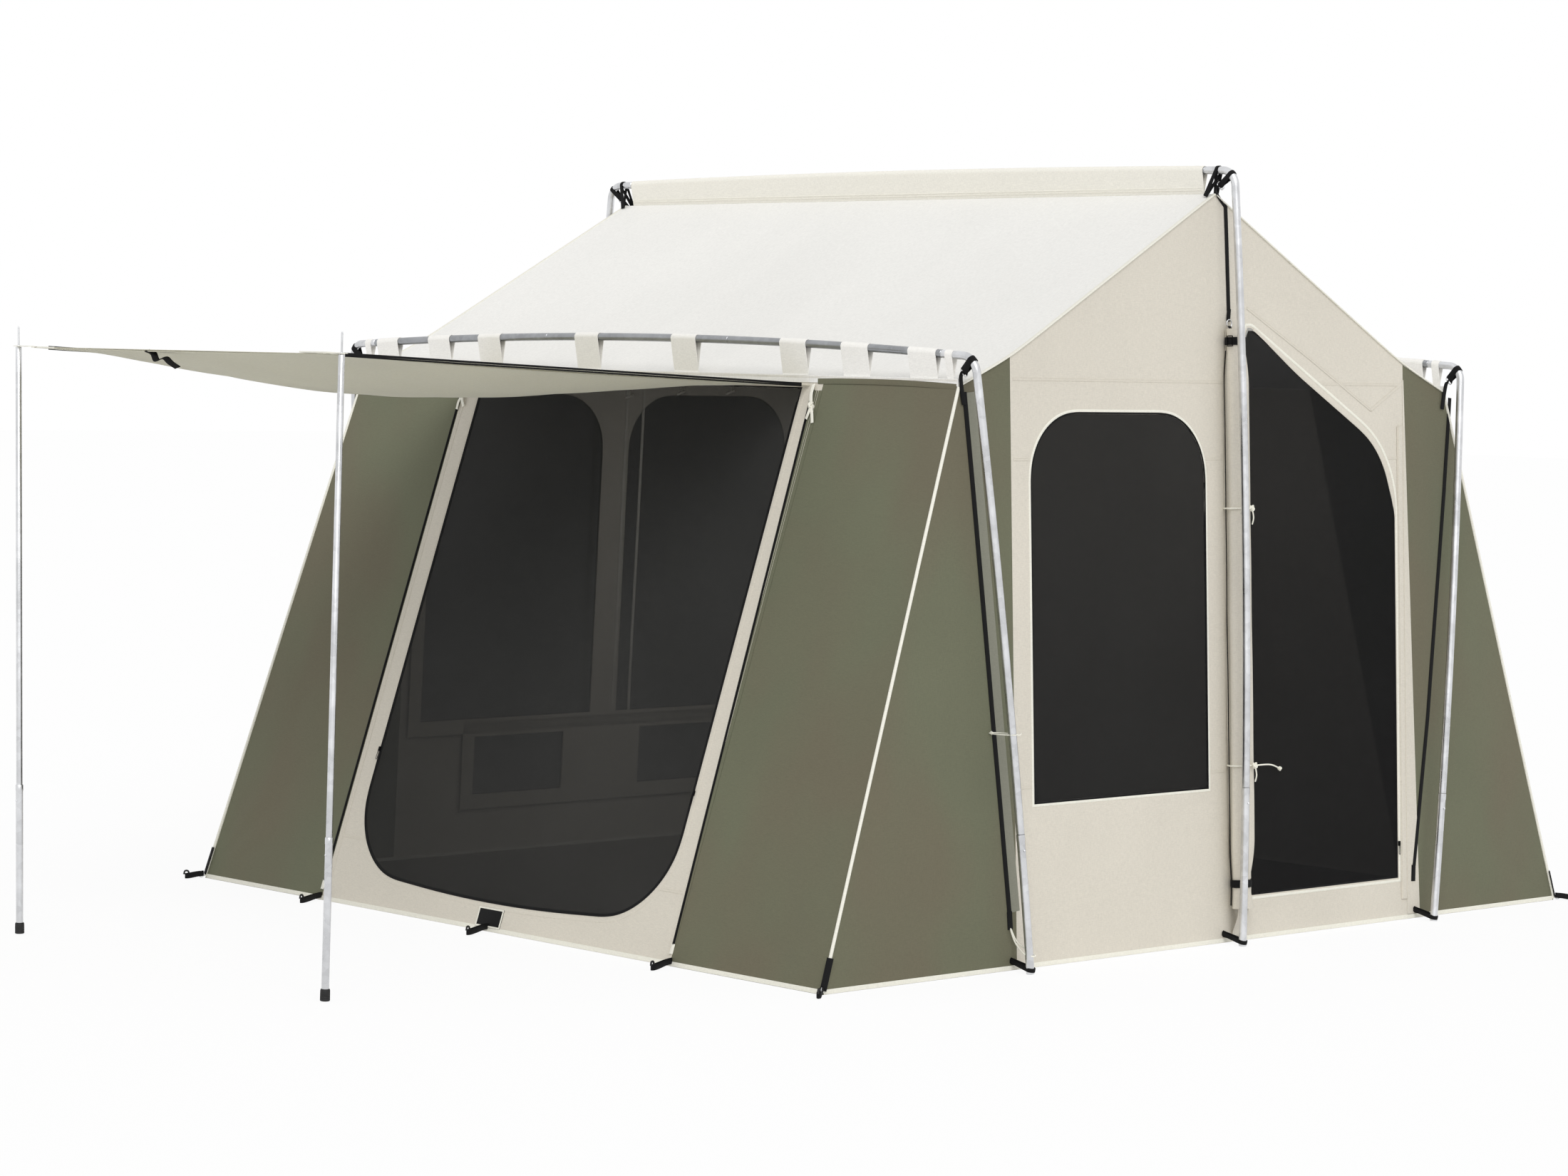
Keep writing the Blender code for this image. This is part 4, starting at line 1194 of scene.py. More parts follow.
def build_porch_tab(name, side, shoulder, body):
    """The webbing tab that sits on the pole's shoulder, and its eyelet round the spike."""
    tab = Piece(f"porch_tab_{name}_webbing", "white", body)
    height = shoulder.z + 0.0022
    shares = spread(0.0, 1.0, 14)
    run = spread(porch_tip_half_width + 0.001, abs(shoulder.x) + 0.012, 14)
    line = [Vector((side * x, pole_y, height + 0.0006 * math.sin(9.0 * share)))
            for share, x in zip(shares, run)]
    tab.strip(line, upright, 0.026, 0.0009, 0.0009)
    tab.done(f"porch_tab_{name}")
    eyelet = Piece(f"porch_eyelet_{name}", "steel", body)
    ring = [Vector((shoulder.x + dx, pole_y + dy, height + 0.0012)) for dx, dy in
            arc((0.0, 0.0), 0.0058, 0.0, 2.0 * math.pi, 24)[:-1]]
    eyelet.tube(ring, 0.0014, 10, closed=True)
    eyelet.done()


def build_poles():
    for side, name in zip(ends, ("left", "right")):
        body = f"pole_{name}"
        foot = Vector((side * pole_foot_half_span, pole_y, 0.0))
        head = Vector((side * pole_head_half_span, pole_y, pole_head_height + pole_spike_length))
        route = Route((foot, head))
        shoulder = route.length - pole_spike_length
        start = pole_lower_length - pole_insert
        turned(f"pole_upper_{name}_tube", "steel", body, route,
               upper_profile(start, shoulder, route.length), f"pole_upper_{name}")
        turned(f"pole_lower_{name}_tube", "steel", "root", route, pole_lower_profile, f"pole_lower_{name}")
        turned(f"pole_foot_{name}_cap", "rubber", "root", route, pole_foot_profile, f"pole_foot_{name}")
        button = Piece(f"pole_button_{name}", "steel")
        button.button(route.at(pole_lower_length - button_drop), Vector(front),
                      (pole_lower_radius - 0.002, pole_lower_radius + 0.001, pole_lower_radius + 0.0025),
                      (0.0035, 0.0035, 0.002))
        button.done()
        build_porch_tab(name, side, route.at(shoulder), body)


# Porch flap

def porch_point(across, share):
    """A place on the porch flap's top, from its hinge to its outer edge."""
    half = porch_root_half_width + (porch_tip_half_width - porch_root_half_width) * share
    late = min(1.0, max(0.0, share)) ** porch_belly_lean
    belly = 4.0 * late * (1.0 - late) * (1.0 - across ** 2) * smooth(share / 0.06)
    fold = 0.008 * noise.noise(Vector((across * 2.2 + 2.5 * share, share * 1.4, 71.0)))
    crease = 0.004 * noise.noise(Vector((across * 6.0 - 5.0 * share, share * 2.5, 75.0)))
    free = smooth((1.0 - abs(across)) / 0.25) * smooth(share / 0.12) * smooth((1.0 - share) / 0.12)
    height = 0.001 + porch_rise * share - porch_sag * belly + (fold + crease) * free
    return porch_hinge + Vector((across * half, -porch_reach * share, height))


def build_porch():
    cloth = Piece("porch_flap_cloth", "porch", "porch")
    cloth.grid(lambda u, v: porch_point(-u, v), spread(-1.0, 1.0, 96), spread(0.0, 1.0, 104), canvas)
    item = cloth.done("porch_flap", sharp=60.0)
    zips = Piece("porch_zips", "black", "porch")
    hem = Piece("porch_hem", "porch", "porch")
    for side in ends:
        edge = [porch_point(side * 0.998, share) for share in spread(0.02, 0.965, 70)]
        zips.strip(edge, Vector((side, 0.0, 0.0)), 0.012, 0.0016, 0.003)
        fold = [porch_point(side * 0.955, share) for share in spread(0.012, 1.0, 70)]
        hem.strip(fold, upright, 0.03, 0.0008, canvas + 0.0008)
    tip = [porch_point(across, 0.992) for across in spread(-0.98, 0.98, 90)]
    hem.strip(tip, upright, 0.026, 0.001, canvas + 0.001)
    zips.done()
    hem.done()


# Rolled side flap

def waist_at(height):
    """The roll's girth at a height as a share of its full one, and how free it is of its ties."""
    gap = min(abs(height - tie) for tie in tie_heights) - 0.025
    reach = min(1.0, max(0.0, gap / tie_waist_reach))
    waist = tie_waist_share + (1.0 - tie_waist_share) * math.sin(reach * math.pi / 2.0)
    return waist, (waist - tie_waist_share) / (1.0 - tie_waist_share)


def roll_profile(height, turns, steps, shift=0.0, tight=0.3):
    """Places across and out from the gable along the wound cloth, from its free edge inwards."""
    waist, loose = waist_at(height)
    turn = 2.4 * (height - roll_bottom) / (roll_top - roll_bottom)
    places = []
    for share in spread(0.0, 1.0, steps):
        angle = -2.2 + 2.0 * math.pi * turns * share
        fold = 1.0 - 0.09 * loose * (0.5 + 0.5 * math.cos(5.0 * angle + turn))
        fold -= 0.03 * loose * noise.noise(Vector((math.cos(angle), math.sin(angle), height / 0.16)))
        wound = (1.0 - tight * share) * waist * fold
        places.append(((roll_half_width * wound - shift) * math.cos(angle),
                       (roll_half_depth * wound - shift) * math.sin(angle)))
    return places


def roll_seat(height):
    """How far the roll's middle stands off the gable."""
    low = -min(out for _, out in roll_profile(height, 1.0, 60, tight=0.0))
    return low + seam + 0.0005 + (1.0 - waist_at(height)[1]) * 0.003


def round_roll(face, height, steps, lift):
    """A line round the outside of the roll, with its outer sides."""
    seat = roll_seat(height)
    line, outs = [], []
    for across, out in roll_profile(height, 1.0, steps, tight=0.0)[:-1]:
        outs.append((face.across * across + face.out * out).normalized())
        line.append(face.above(roll_centre + across, height, seat + out) + outs[-1] * lift)
    return line, outs


def build_flap_roll(face):
    cloth = Piece("side_flap_roll_cloth", "cream")
    rings = []
    for height in spread(roll_bottom, roll_top, 96):
        seat = roll_seat(height)
        outer, inner = [roll_profile(height, roll_turns, 150, shift) for shift in (0.0, canvas)]
        rings.append([cloth.bm.verts.new(face.above(roll_centre + across, height, seat + out))
                      for across, out in outer + inner[::-1]])
    join_rings(cloth.bm, rings)
    item = cloth.done("side_flap_roll", sharp=60.0)
    for height, name in zip(tie_heights, ("lower", "upper")):
        band = Piece(f"flap_tie_{name}_webbing", "black")
        line, outs = round_roll(face, height, 48, 0.0006)
        band.strip(line, outs, 0.025, 0.0018, closed=True)
        band.done(f"flap_tie_{name}")
    # The flap's zip: a black strip up the roll, which also paints the dark shadow line along the roll's
    # edge.
    tape = Piece("side_flap_zip_and_shadow", "black")
    heights = spread(roll_bottom + 0.01, tie_heights[1] - 0.03, 70)
    turns = [round_roll(face, height, 48, 0.0003) for height in heights]
    tape.strip([line[flap_zip_step] for line, _ in turns], [outs[flap_zip_step] for _, outs in turns],
               0.006, 0.0012)
    tape.done()
    buckle = Piece("flap_tie_buckle", "slider")
    centre = face.above(roll_centre - roll_half_width * tie_waist_share - 0.004, tie_heights[1],
                        roll_seat(tie_heights[1]) + 0.012)
    frame_line = [centre + face.up * dv + face.out * dh for dv, dh in
                  ((-0.016, -0.011), (0.016, -0.011), (0.016, 0.011), (-0.016, 0.011))]
    buckle.tube(densified(frame_line, 0.005), 0.0018, 10, closed=True)
    buckle.done()


# Zip sliders

def build_sliders(panels):
    places = (
        ("front_zip_slider_left", "front_door_panel", -0.7943, 0.50, "zip_front_left"),
        ("front_zip_slider_right", "front_door_panel", 0.7943, 0.50, "zip_front_right"),
        ("side_zip_slider", "gable_panel_right", 0.9093, 0.25, "zip_side"),
    )
    for node, panel, u, z, body in places:
        face = panels[panel].face
        piece = Piece(f"{node}_metal", "slider", body)
        v = z / face.up.z
        piece.block(face.at(u, v + 0.008, 0.0034), face, (0.008, 0.016, 0.0055), 0.0012)
        piece.block(face.at(u, v + 0.006, 0.0060), face, (0.0035, 0.009, 0.0016), 0.0006)
        pull = [face.at(u + dx, v + dv, 0.0052) for dx, dv in slider_pull]
        piece.tube(densified(pull, 0.003), 0.0009, 8, closed=True)
        piece.done(node)


# Trim helpers

def teardrop(centre, foot, axis, radius, steps=22):
    """A strap that goes round a tube and comes together at a foot, with its outer sides."""
    axis = axis.normalized()
    down = foot - centre
    along = (down - axis * down.dot(axis)).normalized()
    over = axis.cross(along)
    open_half = math.acos(min(1.0, radius / down.length))
    turn = arc((0.0, 0.0), radius, open_half, 2.0 * math.pi - open_half, steps)
    line = [centre + along * x + over * y for x, y in turn]
    outs = [(point - centre).normalized() for point in line]
    return line + [foot - over * 0.001, foot + over * 0.001], outs + [-over, over]


def elbow(route, end):
    """The middle of a hoop's bent corner, and the way that the tube runs there."""
    index = max(range(len(route.points)), key=lambda i: end * route.points[i].x + route.points[i].z)
    return route.points[index], route.points[index + 1] - route.points[index - 1]


def moved(loop, distance):
    """The loop with its line moved outwards, or inwards by a distance below nought."""
    sign = 1.0 if loop_area(loop) > 0.0 else -1.0
    made = []
    for index, corner in enumerate(loop):
        inward = (corner - loop[index - 1]).normalized()
        outward = (loop[(index + 1) % len(loop)] - corner).normalized()
        middle = (inward + outward).normalized()
        lean = max(0.5, middle.dot(outward))
        made.append(corner + Vector((middle.y, -middle.x)) * sign * distance / lean)
    return made


def bind(piece, panel, loop, offset, width, rise=0.0016):
    """Tape round an edge of a panel, on both of its sides."""
    line = panel.on(moved(loop, offset), closed=True)
    piece.strip(line, panel.face.out, width, rise, panel.thickness + rise, closed=True)


def densified_rim(panel, offset):
    return densified(moved(panel.loops[0], offset), cloth_step)


def free_edges(loop, along):
    """The part of a mesh door's outline that isn't sewn to the wall, in order round it."""
    kept = [along(point) > hinge_seam for point in loop]
    start = next(index for index in range(len(loop)) if kept[index] and not kept[index - 1])
    return [point for point in loop[start:] + loop[:start] if along(point) > hinge_seam]


def bind_net(name, panel, body, along):
    """The black binding round a mesh door, but for its hinge edge."""
    rim = densified_rim(panel, -0.003)
    edge = Piece(f"{name}_binding", "black", body)
    nearest = min(along(point) for point in rim)
    line = panel.on(free_edges(rim, lambda point: along(point) - nearest))
    edge.strip(line, panel.face.out, 0.006, 0.0012, netting + 0.0012)
    edge.done()


def fell(piece, line, out, width=0.011):
    """A flat seam with its two rows of thread."""
    piece.strip(line, out, width, 0.0007)
    across = out.cross((line[-1] - line[0]).normalized()).normalized()
    for side in (-0.3, 0.3):
        piece.strip([point + across * width * side for point in line], out, 0.0014, 0.0013)


def fell_across(piece, panel, height):
    """A level seam over the whole panel, broken at its holes."""
    for low, high in panel.spans(height):
        line = panel.level([(low, height), (high, height)])
        if len(line) > 1:
            fell(piece, line, panel.face.out)


# Trim of the canvas

def build_hems(panels):
    hem = Piece("foot_hem", "piping")
    for node, half in (("front_door_panel", base_half_length), ("back_door_panel", base_half_length),
                       ("gable_panel_right", base_half_width), ("gable_panel_left", base_half_width)):
        face = panels[node].face
        line = [face.at(u, hem_width / 2.0 + 0.0005) for u in spread(-half + 0.006, half - 0.006, 60)]
        hem.strip(line, face.out, hem_width, 0.001, canvas + 0.001)
    hem.done()
    piping = Piece("corner_piping", "piping")
    for end in ends:
        for side in ends:
            foot = Vector((end * base_half_length, side * base_half_width, 0.006))
            head = Vector((end * gable_x(eave_height), side * eave_half_width, eave_height - 0.004))
            piping.tube([foot.lerp(head, share) for share in spread(0.0, 1.0, 30)], piping_radius, 12)
    piping.done()


def lap_edge(height):
    """Where the porch zip runs beside the front door: it leans inwards up the wall."""
    return 0.881 - 0.0194 * height


def build_wall_trim(panels):
    black = Piece("wall_zips", "black")
    pale = Piece("wall_bindings", "piping")
    seams = Piece("wall_seams", "cream")
    door, back_panel = panels["front_door_panel"], panels["back_door_panel"]
    out = door.face.out
    for side in ends:
        places = [(lap_edge(z) if side > 0.0 else -left_zip_place, z) for z in (0.062, 1.752)]
        line = door.level(places, 0.0006)
        black.strip(line, out, zip_width, 0.0016, canvas + 0.0018)
        black.strip(line, out, 0.0045, 0.0032)
        door.tape(pale, [(places[0][0], z) for z in (0.034, 0.064)], 0.0008, zip_width + 0.004, 0.0026)
        border = door.level([(side * (door_panel_half_width - 0.016), z) for z in (0.03, 1.76)])
        fell(seams, border, out, 0.014)
        back_line = back_panel.level([(side * door_panel_half_width, z) for z in (0.016, 1.772)])
        fell(seams, back_line, back_panel.face.out, 0.014)
    bind(black, door, door.loops[1], 0.002, 0.004)
    bind(seams, door, door.loops[1], 0.016, 0.012, 0.0006)
    fell_across(seams, door, 0.215)
    fell_across(seams, back_panel, 0.9)
    for piece in (black, pale, seams):
        piece.done()
    bind_net("front_screen", panels["front_screen"], "front_mesh_door", lambda point: -point.y)


def build_inner_facings(panel):
    """Cloth inside the left gable that covers the nets' margins round its windows and vents."""
    facing = Piece("left_inner_facings", "cream")
    holes = sorted(panel.loops[1:], key=lambda loop: max(p.y for p in loop))
    for group in (holes[:2], holes[2:]):
        low, high = [[pick(p[i] for loop in group for p in loop) + sign * facing_width for i in (0, 1)]
                     for pick, sign in ((min, -1.0), (max, 1.0))]
        sheet = Panel("gable_panel_left", left, lambda u, v: 0.0)
        corners = ((low[0], low[1]), (high[0], low[1]), (high[0], high[1]), (low[0], high[1]))
        sheet.loops = [[Vector(corner) for corner in corners]] + [moved(loop, 0.002) for loop in group]
        sheet.face.origin = panel.face.origin - panel.face.out * facing_depth
        sheet.lay(facing)
    facing.done(sharp=60.0)


def build_gable_seams(panels, seams, pale, black):
    """Seams, the bindings of the holes and the storm flap's edge on both gables."""
    panel, left_panel = panels["gable_panel_right"], panels["gable_panel_left"]
    out = panel.face.out
    for gable in (panel, left_panel):
        for height in seam_heights:
            fell_across(seams, gable, height)
        for hole in gable.loops[1:]:
            bind(pale, gable, hole, 0.0095, 0.009, 0.0014)
    for places in (door_head_line, door_head_branch):
        fell(seams, panel.level(places, 0.0006), out, 0.010)
    window = min(panel.loops[1:], key=lambda hole: max(point.y for point in hole))
    bind(black, panel, window, 0.003, 0.006, 0.0018)
    for hole in left_panel.loops[1:]:
        bind(black, left_panel, hole, 0.0015, 0.003, 0.0018)
    cover = panel.level(storm_flap_line, 0.0012)
    seams.strip(cover, out, 0.032, 0.0035, 0.0005)
    for shift in (-0.013, 0.013):
        seams.strip([point + panel.face.across * shift for point in cover], out, 0.0016, 0.005)
    for place in left_rib_places:
        rib = left_panel.level([(-place, z) for z in (0.5, 1.74)])
        inner = [point - left_panel.face.out * (facing_depth + canvas) for point in rib]
        pale.strip(inner, -left_panel.face.out, 0.012, 0.0022)


def build_gusset_webbing(panel, side, black, painted_leg_band):
    """Webbing down a gusset beside the hoop's leg, and on the front gussets a grey strip beside it that
    paints the pale band of light and shade by the leg tube.
    """
    sign = side * panel.face.across.y
    apart = back_webbing_shift if side > 0.0 else 0.0
    line = [(sign * (u + apart * smooth(z / 1.2)), z) for u, z in leg_webbing_line]
    panel.tape(black, line, 0.0006, 0.018, webbing)
    if side < 0.0:
        # Painted light and shade: a grey strip for the pale band beside the leg tube.
        inward = [(sign * (u - leg_band_shift), z) for u, z in leg_webbing_line]
        panel.tape(painted_leg_band, inward, 0.0004, leg_band_width, 0.0008)
    panel.tape(black, [(sign * u, z) for u, z in leg_webbing_foot], 0.0008, 0.022, 0.0022)


def build_gable_trim(panels):
    seams = Piece("gable_seams", "cream")
    pale = Piece("gable_bindings", "piping")
    black = Piece("gable_black_bindings", "black")
    painted_leg_band = Piece("gusset_painted_leg_band", "painted_leg_band")
    build_gable_seams(panels, seams, pale, black)
    for end in ("right", "left"):
        for side, name in long_sides:
            build_gusset_webbing(panels[f"gusset_{name}_{end}"], side, black, painted_leg_band)
    for piece in (seams, pale, black, painted_leg_band):
        piece.done()
    build_inner_facings(panels["gable_panel_left"])


def build_side_screen_head(net):
    """The cream band over the head of the side mesh door, thinned towards both of its ends."""
    head = Piece("side_screen_head", "cream", "side_mesh_door")
    rim = densified_rim(net, -net_head_width / 2.0)
    start = min(range(len(rim)), key=lambda index: rim[index].y)
    near = min(point.x for point in rim) + 0.03
    rim = [point for point in rim[start:] + rim[:start] if point.y > net_head_low and point.x > near]
    shifted = []
    for point in rim:
        outward = smooth((net_head_taper - point.y) / (net_head_taper - net_head_low))
        upward = smooth((near + net_head_start - point.x) / net_head_start)
        shifted.append(point + Vector((net_head_width * outward, net_head_width * upward)))
    head.strip(net.on(shifted, 0.0006), net.face.out, net_head_width, 0.0012, netting + 0.0012)
    head.done()
    bind_net("side_screen", net, "side_mesh_door", lambda point: point.x)


# Straps, rings, stakes and ties

def build_hoop_straps(routes):
    """Black webbing that ties each bent corner to the canvas, with its wire ring."""
    straps = Piece("hoop_straps", "black")
    rings = Piece("strap_rings", "steel")
    round_tube = tube_radius + strap_gap
    for route in routes:
        for end in ends:
            centre, axis = elbow(route, end)
            ridge = abs(centre.y) < 0.1
            if ridge:
                corner = Vector((end * (gable_x(ridge_height) - 0.004), 0.0, ridge_height + 0.002))
            else:
                side = math.copysign(1.0, centre.y)
                corner = Vector((end * gable_x(eave_height), side * eave_half_width, eave_height + 0.018))
            foot = corner.lerp(centre, 0.40)
            line, outs = teardrop(centre, foot, axis, round_tube)
            straps.strip(line, outs, 0.014 if ridge else webbing_width, webbing, closed=True)
            along = (foot - centre).normalized()
            rings.ring(foot, axis.normalized(), along, (0.015, 0.008), 0.0017, power=0.55)
            out = Vector((end, 0.0, 0.35)).normalized()
            if ridge:
                for tilt in ends:
                    base = corner + Vector((-end * 0.01, tilt * 0.026, -0.012))
                    line, outs = teardrop(route.bar_at(end * 1.458), base, Vector(right),
                                          round_tube + 0.0004)
                    straps.strip(line, outs, 0.012, webbing, closed=True)
                low = corner + Vector((end * 0.0065, 0.050, -0.040))
            else:
                low = corner + Vector((end * 0.008, -side * 0.016, -0.075))
            tail = [foot, foot.lerp(corner, 0.8) + out * 0.004, low]
            straps.ribbon(tail, 6, out, 0.013 if ridge else 0.016, webbing, webbing)
    straps.done()
    rings.done()


def foot_cord_line(foot, end):
    """A cord's way from the wall round a hoop's foot and back."""
    face_x = gable_x(0.128)
    foot_x = abs(foot.x)
    places = ((face_x + 0.004, 0.0, 0.128), (face_x + 0.03, 0.005, 0.088), (foot_x - 0.012, 0.017, 0.062),
              (foot_x + 0.0155, 0.0, 0.056), (foot_x - 0.012, -0.017, 0.062), (face_x + 0.03, -0.005, 0.088))
    return curve_through([(end * x, foot.y + dy, z) for x, dy, z in places], 8, closed=True)


def build_foot_loops(routes):
    """Loops from the hem to each hoop foot, and the white cord above them."""
    loops = Piece("foot_loops", "black")
    cords = Piece("foot_cords", "white")
    for route in routes:
        for end, foot in ((-1.0, route.points[0]), (1.0, route.points[-1])):
            hem = Vector((end * (base_half_length - 0.001), foot.y, 0.030))
            centre = Vector((foot.x, foot.y, 0.014))
            lean = (hem.z - centre.z) / abs(hem.x - centre.x)
            axis = (upright + Vector((end, 0.0, 0.0)) * lean).normalized()
            line, outs = teardrop(centre, hem, axis, tube_radius + strap_gap)
            loops.strip(line, outs, 0.013, webbing, closed=True)
            if foot.y < -0.1:
                cords.tube(foot_cord_line(foot, end), 0.0024, 8, closed=True)
    loops.done()
    cords.done()


def stake_loop(loops, at, out, width, shape):
    """A webbing loop that lies out from the hem, low at the hem and higher at its pin."""
    side = out.cross(upright)
    reach = shape[len(shape) // 2][0]
    line = []
    for away, along in shape:
        height = width * 0.52 + (stake_loop_height - width * 0.52) * (1.0 - smooth(away / reach))
        line.append(at + out * away + side * along + upright * height)
    line = curve_through(line, 6, closed=True)
    outs = [tangent_at(line, index, True).cross(upright).normalized() for index in range(len(line))]
    loops.strip(line, outs, width, webbing, closed=True)


def stake_pin(pins, at, out, reach):
    pins.cord([at + out * (reach + away) + upright * z for away, z in pin_shape], 5, 0.0032, 10)


def build_stakes():
    """Webbing loops along the walls and at the corners, each with its hooked pin."""
    loops = Piece("stake_loops", "black")
    pins = Piece("stake_pins", "rubber")
    rings = Piece("stake_rings", "steel")
    for side in ends:
        for x in stake_places:
            at = Vector((x, side * base_half_width, 0.0))
            out = Vector((0.32, side, 0.0)).normalized()
            stake_loop(loops, at, out, 0.017, wall_loop_shape)
            stake_pin(pins, at, out, 0.098)
        for end in ends:
            at = Vector((end * base_half_length, side * base_half_width, 0.0))
            out = Vector((0.6 if end > 0.0 else -0.25, side * 0.8, 0.0)).normalized()
            top = Vector((end * gable_x(eave_height), side * eave_half_width, eave_height))
            line = [at.lerp(top, z / eave_height) + out * 0.0055 for z in spread(0.012, 0.105, 8)]
            outs = [(out - upright * out.dot(top - at) / (top - at).z).normalized()] * len(line)
            loops.strip(line, outs, 0.020, 0.0026, 0.001)
            rings.ring(at + out * 0.014 + upright * 0.013, out, upright, (0.010, 0.010), 0.0018)
            stake_loop(loops, at + out * 0.010, out, 0.018, corner_loop_shape)
            stake_pin(pins, at + out * 0.010, out, 0.050)
    for piece in (loops, pins, rings):
        piece.done()


def build_door_ties(face):
    """Knotted tapes at the head of the front door."""
    tapes = Piece("door_tie_tapes", "white")
    for side in ends:
        u = side * (door_panel_half_width - 0.018)
        knot_at = face.above(u, 1.70, 0.011)
        top = face.above(u - side * 0.02, 1.768, 0.004)
        bend = top.lerp(knot_at, 0.5) + face.out * 0.006
        tapes.ribbon([top, bend, knot_at], 6, face.out, 0.013, 0.0012, 0.0006)
        tapes.knot(knot_at, face.across, 0.010)
        for sway, drop in ((0.020, 0.055), (-0.012, 0.043)):
            low = knot_at + face.across * side * sway - face.up * drop - face.out * 0.005
            middle = knot_at.lerp(low, 0.5) + face.out * 0.003 + face.across * side * 0.004
            tapes.ribbon([knot_at, middle, low], 6, face.out, 0.011, 0.0012, 0.0006)
    tapes.done()


def build_toggles(face):
    """Toggles on loops under the front door's head."""
    toggles = Piece("door_toggles", "toggle")
    for u, z in toggle_places:
        at = face.above(u, z, 0.0038)
        loop_top = face.above(u + 0.004, min(z + 0.042, 1.757), 0.0014)
        toggles.cord([loop_top, loop_top.lerp(at, 0.5) + face.out * 0.0006, at], 6, 0.0013)
        ends_at = [at + face.across * dx + face.up * dx * 0.35 for dx in (-0.017, -0.0155, 0.0155, 0.017)]
        toggles.tube(ends_at, [0.0022, 0.0031, 0.0031, 0.0022], 12)
    fixed, turning = [tuple(face.above(0.0, z)) for z in toggle_turn]
    toggles.done(across=("front_mesh_door", fixed, turning))


def build_cords(face, gusset):
    """Cords round the rolled flap with their bows, and one that holds the front hoop's leg."""
    cords = Piece("roll_cords", "white")
    for height, tail in ((1.395, -0.055), (0.57, 0.115)):
        cords.tube(round_roll(face, height, 40, 0.0016)[0], 0.0026, 8, closed=True)
        bow = face.above(roll_centre + roll_half_width * 0.35, height,
                         roll_seat(height) + roll_half_depth + 0.006)
        cords.knot(bow, face.out, 0.009)
        end_at = bow + face.across * tail - face.up * 0.016 + face.out * 0.006
        middle = bow.lerp(end_at, 0.5) + face.up * 0.008 + face.out * 0.012
        cords.cord([bow, middle, end_at], 8, 0.0024)
        cords.knot(end_at, face.across, 0.0065)
        cords.cord([bow, bow - face.up * 0.03 + face.out * 0.006, bow - face.up * 0.052], 6, 0.0022)
    leg = front_route.at(front_route.length - leg_cord_height)
    clip = gusset.level([(leg.y, 0.728), (leg.y + 0.03, 0.735)], 0.003)[0]
    cords.ring(leg.lerp(clip, 0.42), (clip - leg).normalized(), Vector((0.0, 1.0, 0.08)),
               ((clip - leg).length * 0.62, tube_radius + 0.003), 0.0017, 8)
    cords.knot(clip + gusset.face.out * 0.003, gusset.face.across, 0.005)
    cords.cord([leg + Vector(offset) for offset in leg_cord_tail], 6, 0.0017)
    cords.done()


def build_roll_straps(panel):
    """The short strap and ring that the roll's upper tie hangs from, and the leg's webbing above it."""
    face = panel.face
    straps = Piece("roll_straps", "black")
    panel.tape(straps, ridge_webbing_line, 0.001, 0.017, webbing)
    panel.tape(straps, [(0.062, 2.035), (0.056, 1.995)], 0.004, 0.016, webbing, webbing)
    drop = [face.above(0.052, 1.98, 0.012), face.above(0.05, 1.955, 0.03),
            face.above(0.05, tie_heights[1], roll_seat(tie_heights[1]) + roll_half_depth * 0.75)]
    straps.ribbon(drop, 6, face.out, 0.014, webbing, webbing)
    tongue = Piece("roll_tongue", "cream")
    foot = roll_bottom / face.up.z
    low = [face.at(roll_centre - 0.002, foot + 0.02, roll_half_depth * 1.1),
           face.at(roll_centre, foot - 0.02, roll_half_depth),
           face.above(roll_centre + 0.006, 0.045, 0.014), face.at(roll_centre + 0.008, 0.02, 0.006)]
    tongue.ribbon(low, 8, face.out, 0.05, 0.0012, 0.0006)
    rings = Piece("roll_rings", "steel")
    rings.ring(face.above(0.052, 1.988, 0.012), face.across, face.up, (0.012, 0.012), 0.0018)
    for piece in (tongue, straps, rings):
        piece.done()


def build_porch_trim():
    strap = Piece("porch_edge_strap", "black", "porch")
    start = porch_point(-0.18, 0.997)
    strap.ribbon([start + Vector(offset) for offset in porch_strap_shape], 8,
                 Vector((0.0, -0.35, 1.0)).normalized(), 0.02, webbing, webbing)
    strap.done()
    corners = Piece("porch_corner_patches", "piping", "porch")
    steps = spread(0.0, 1.0, 8)
    for side, columns in ((-1.0, steps[::-1]), (1.0, steps)):

        def patch(u, v, side=side):
            across = side * (1.0 - 0.17 * u * (1.0 - 0.96 * v))
            return porch_point(across, 1.0 - 0.085 * v) + upright * 0.0012

        corners.grid(patch, columns, steps, canvas + 0.0024)
    corners.done()


def build_patch(face):
    """The black patch on the front sill, with its pale turned edge."""
    centre = ((patch_low + patch_high) / 2.0) / face.up.z
    half = (patch_high - patch_low) / 2.0 / face.up.z
    patch = Piece("hem_patch_cloth", "black")
    sizes = (2.0 * patch_half_width, 2.0 * half, 0.0018)
    patch.block(face.at(0.0, centre, seam + 0.0009), face, sizes, 0.0007)
    patch.done("hem_patch")
    edge = Piece("hem_patch_edge", "piping")
    corners = ((-1.0, -1.0), (1.0, -1.0), (1.0, 1.0), (-1.0, 1.0))
    line = [face.at(a * (patch_half_width - 0.003), centre + b * (half - 0.003), 0.0016) for a, b in corners]
    edge.strip(densified(line, 0.01), face.out, 0.0055, 0.0014, closed=True)
    edge.done()


def build_lap(name, look, face, low, rise, inner, outer, lift, thickness):
    """Cloth that laps over its neighbour, between two lines up a face."""
    lap = Piece(name, look)

    def surface(u, v):
        z = low + rise * v
        return face.above(inner(z, v) + (outer(z, v) - inner(z, v)) * u, z, lift)

    lap.grid(surface, spread(0.0, 1.0, 4), spread(0.0, 1.0, 60), thickness)
    lap.done()


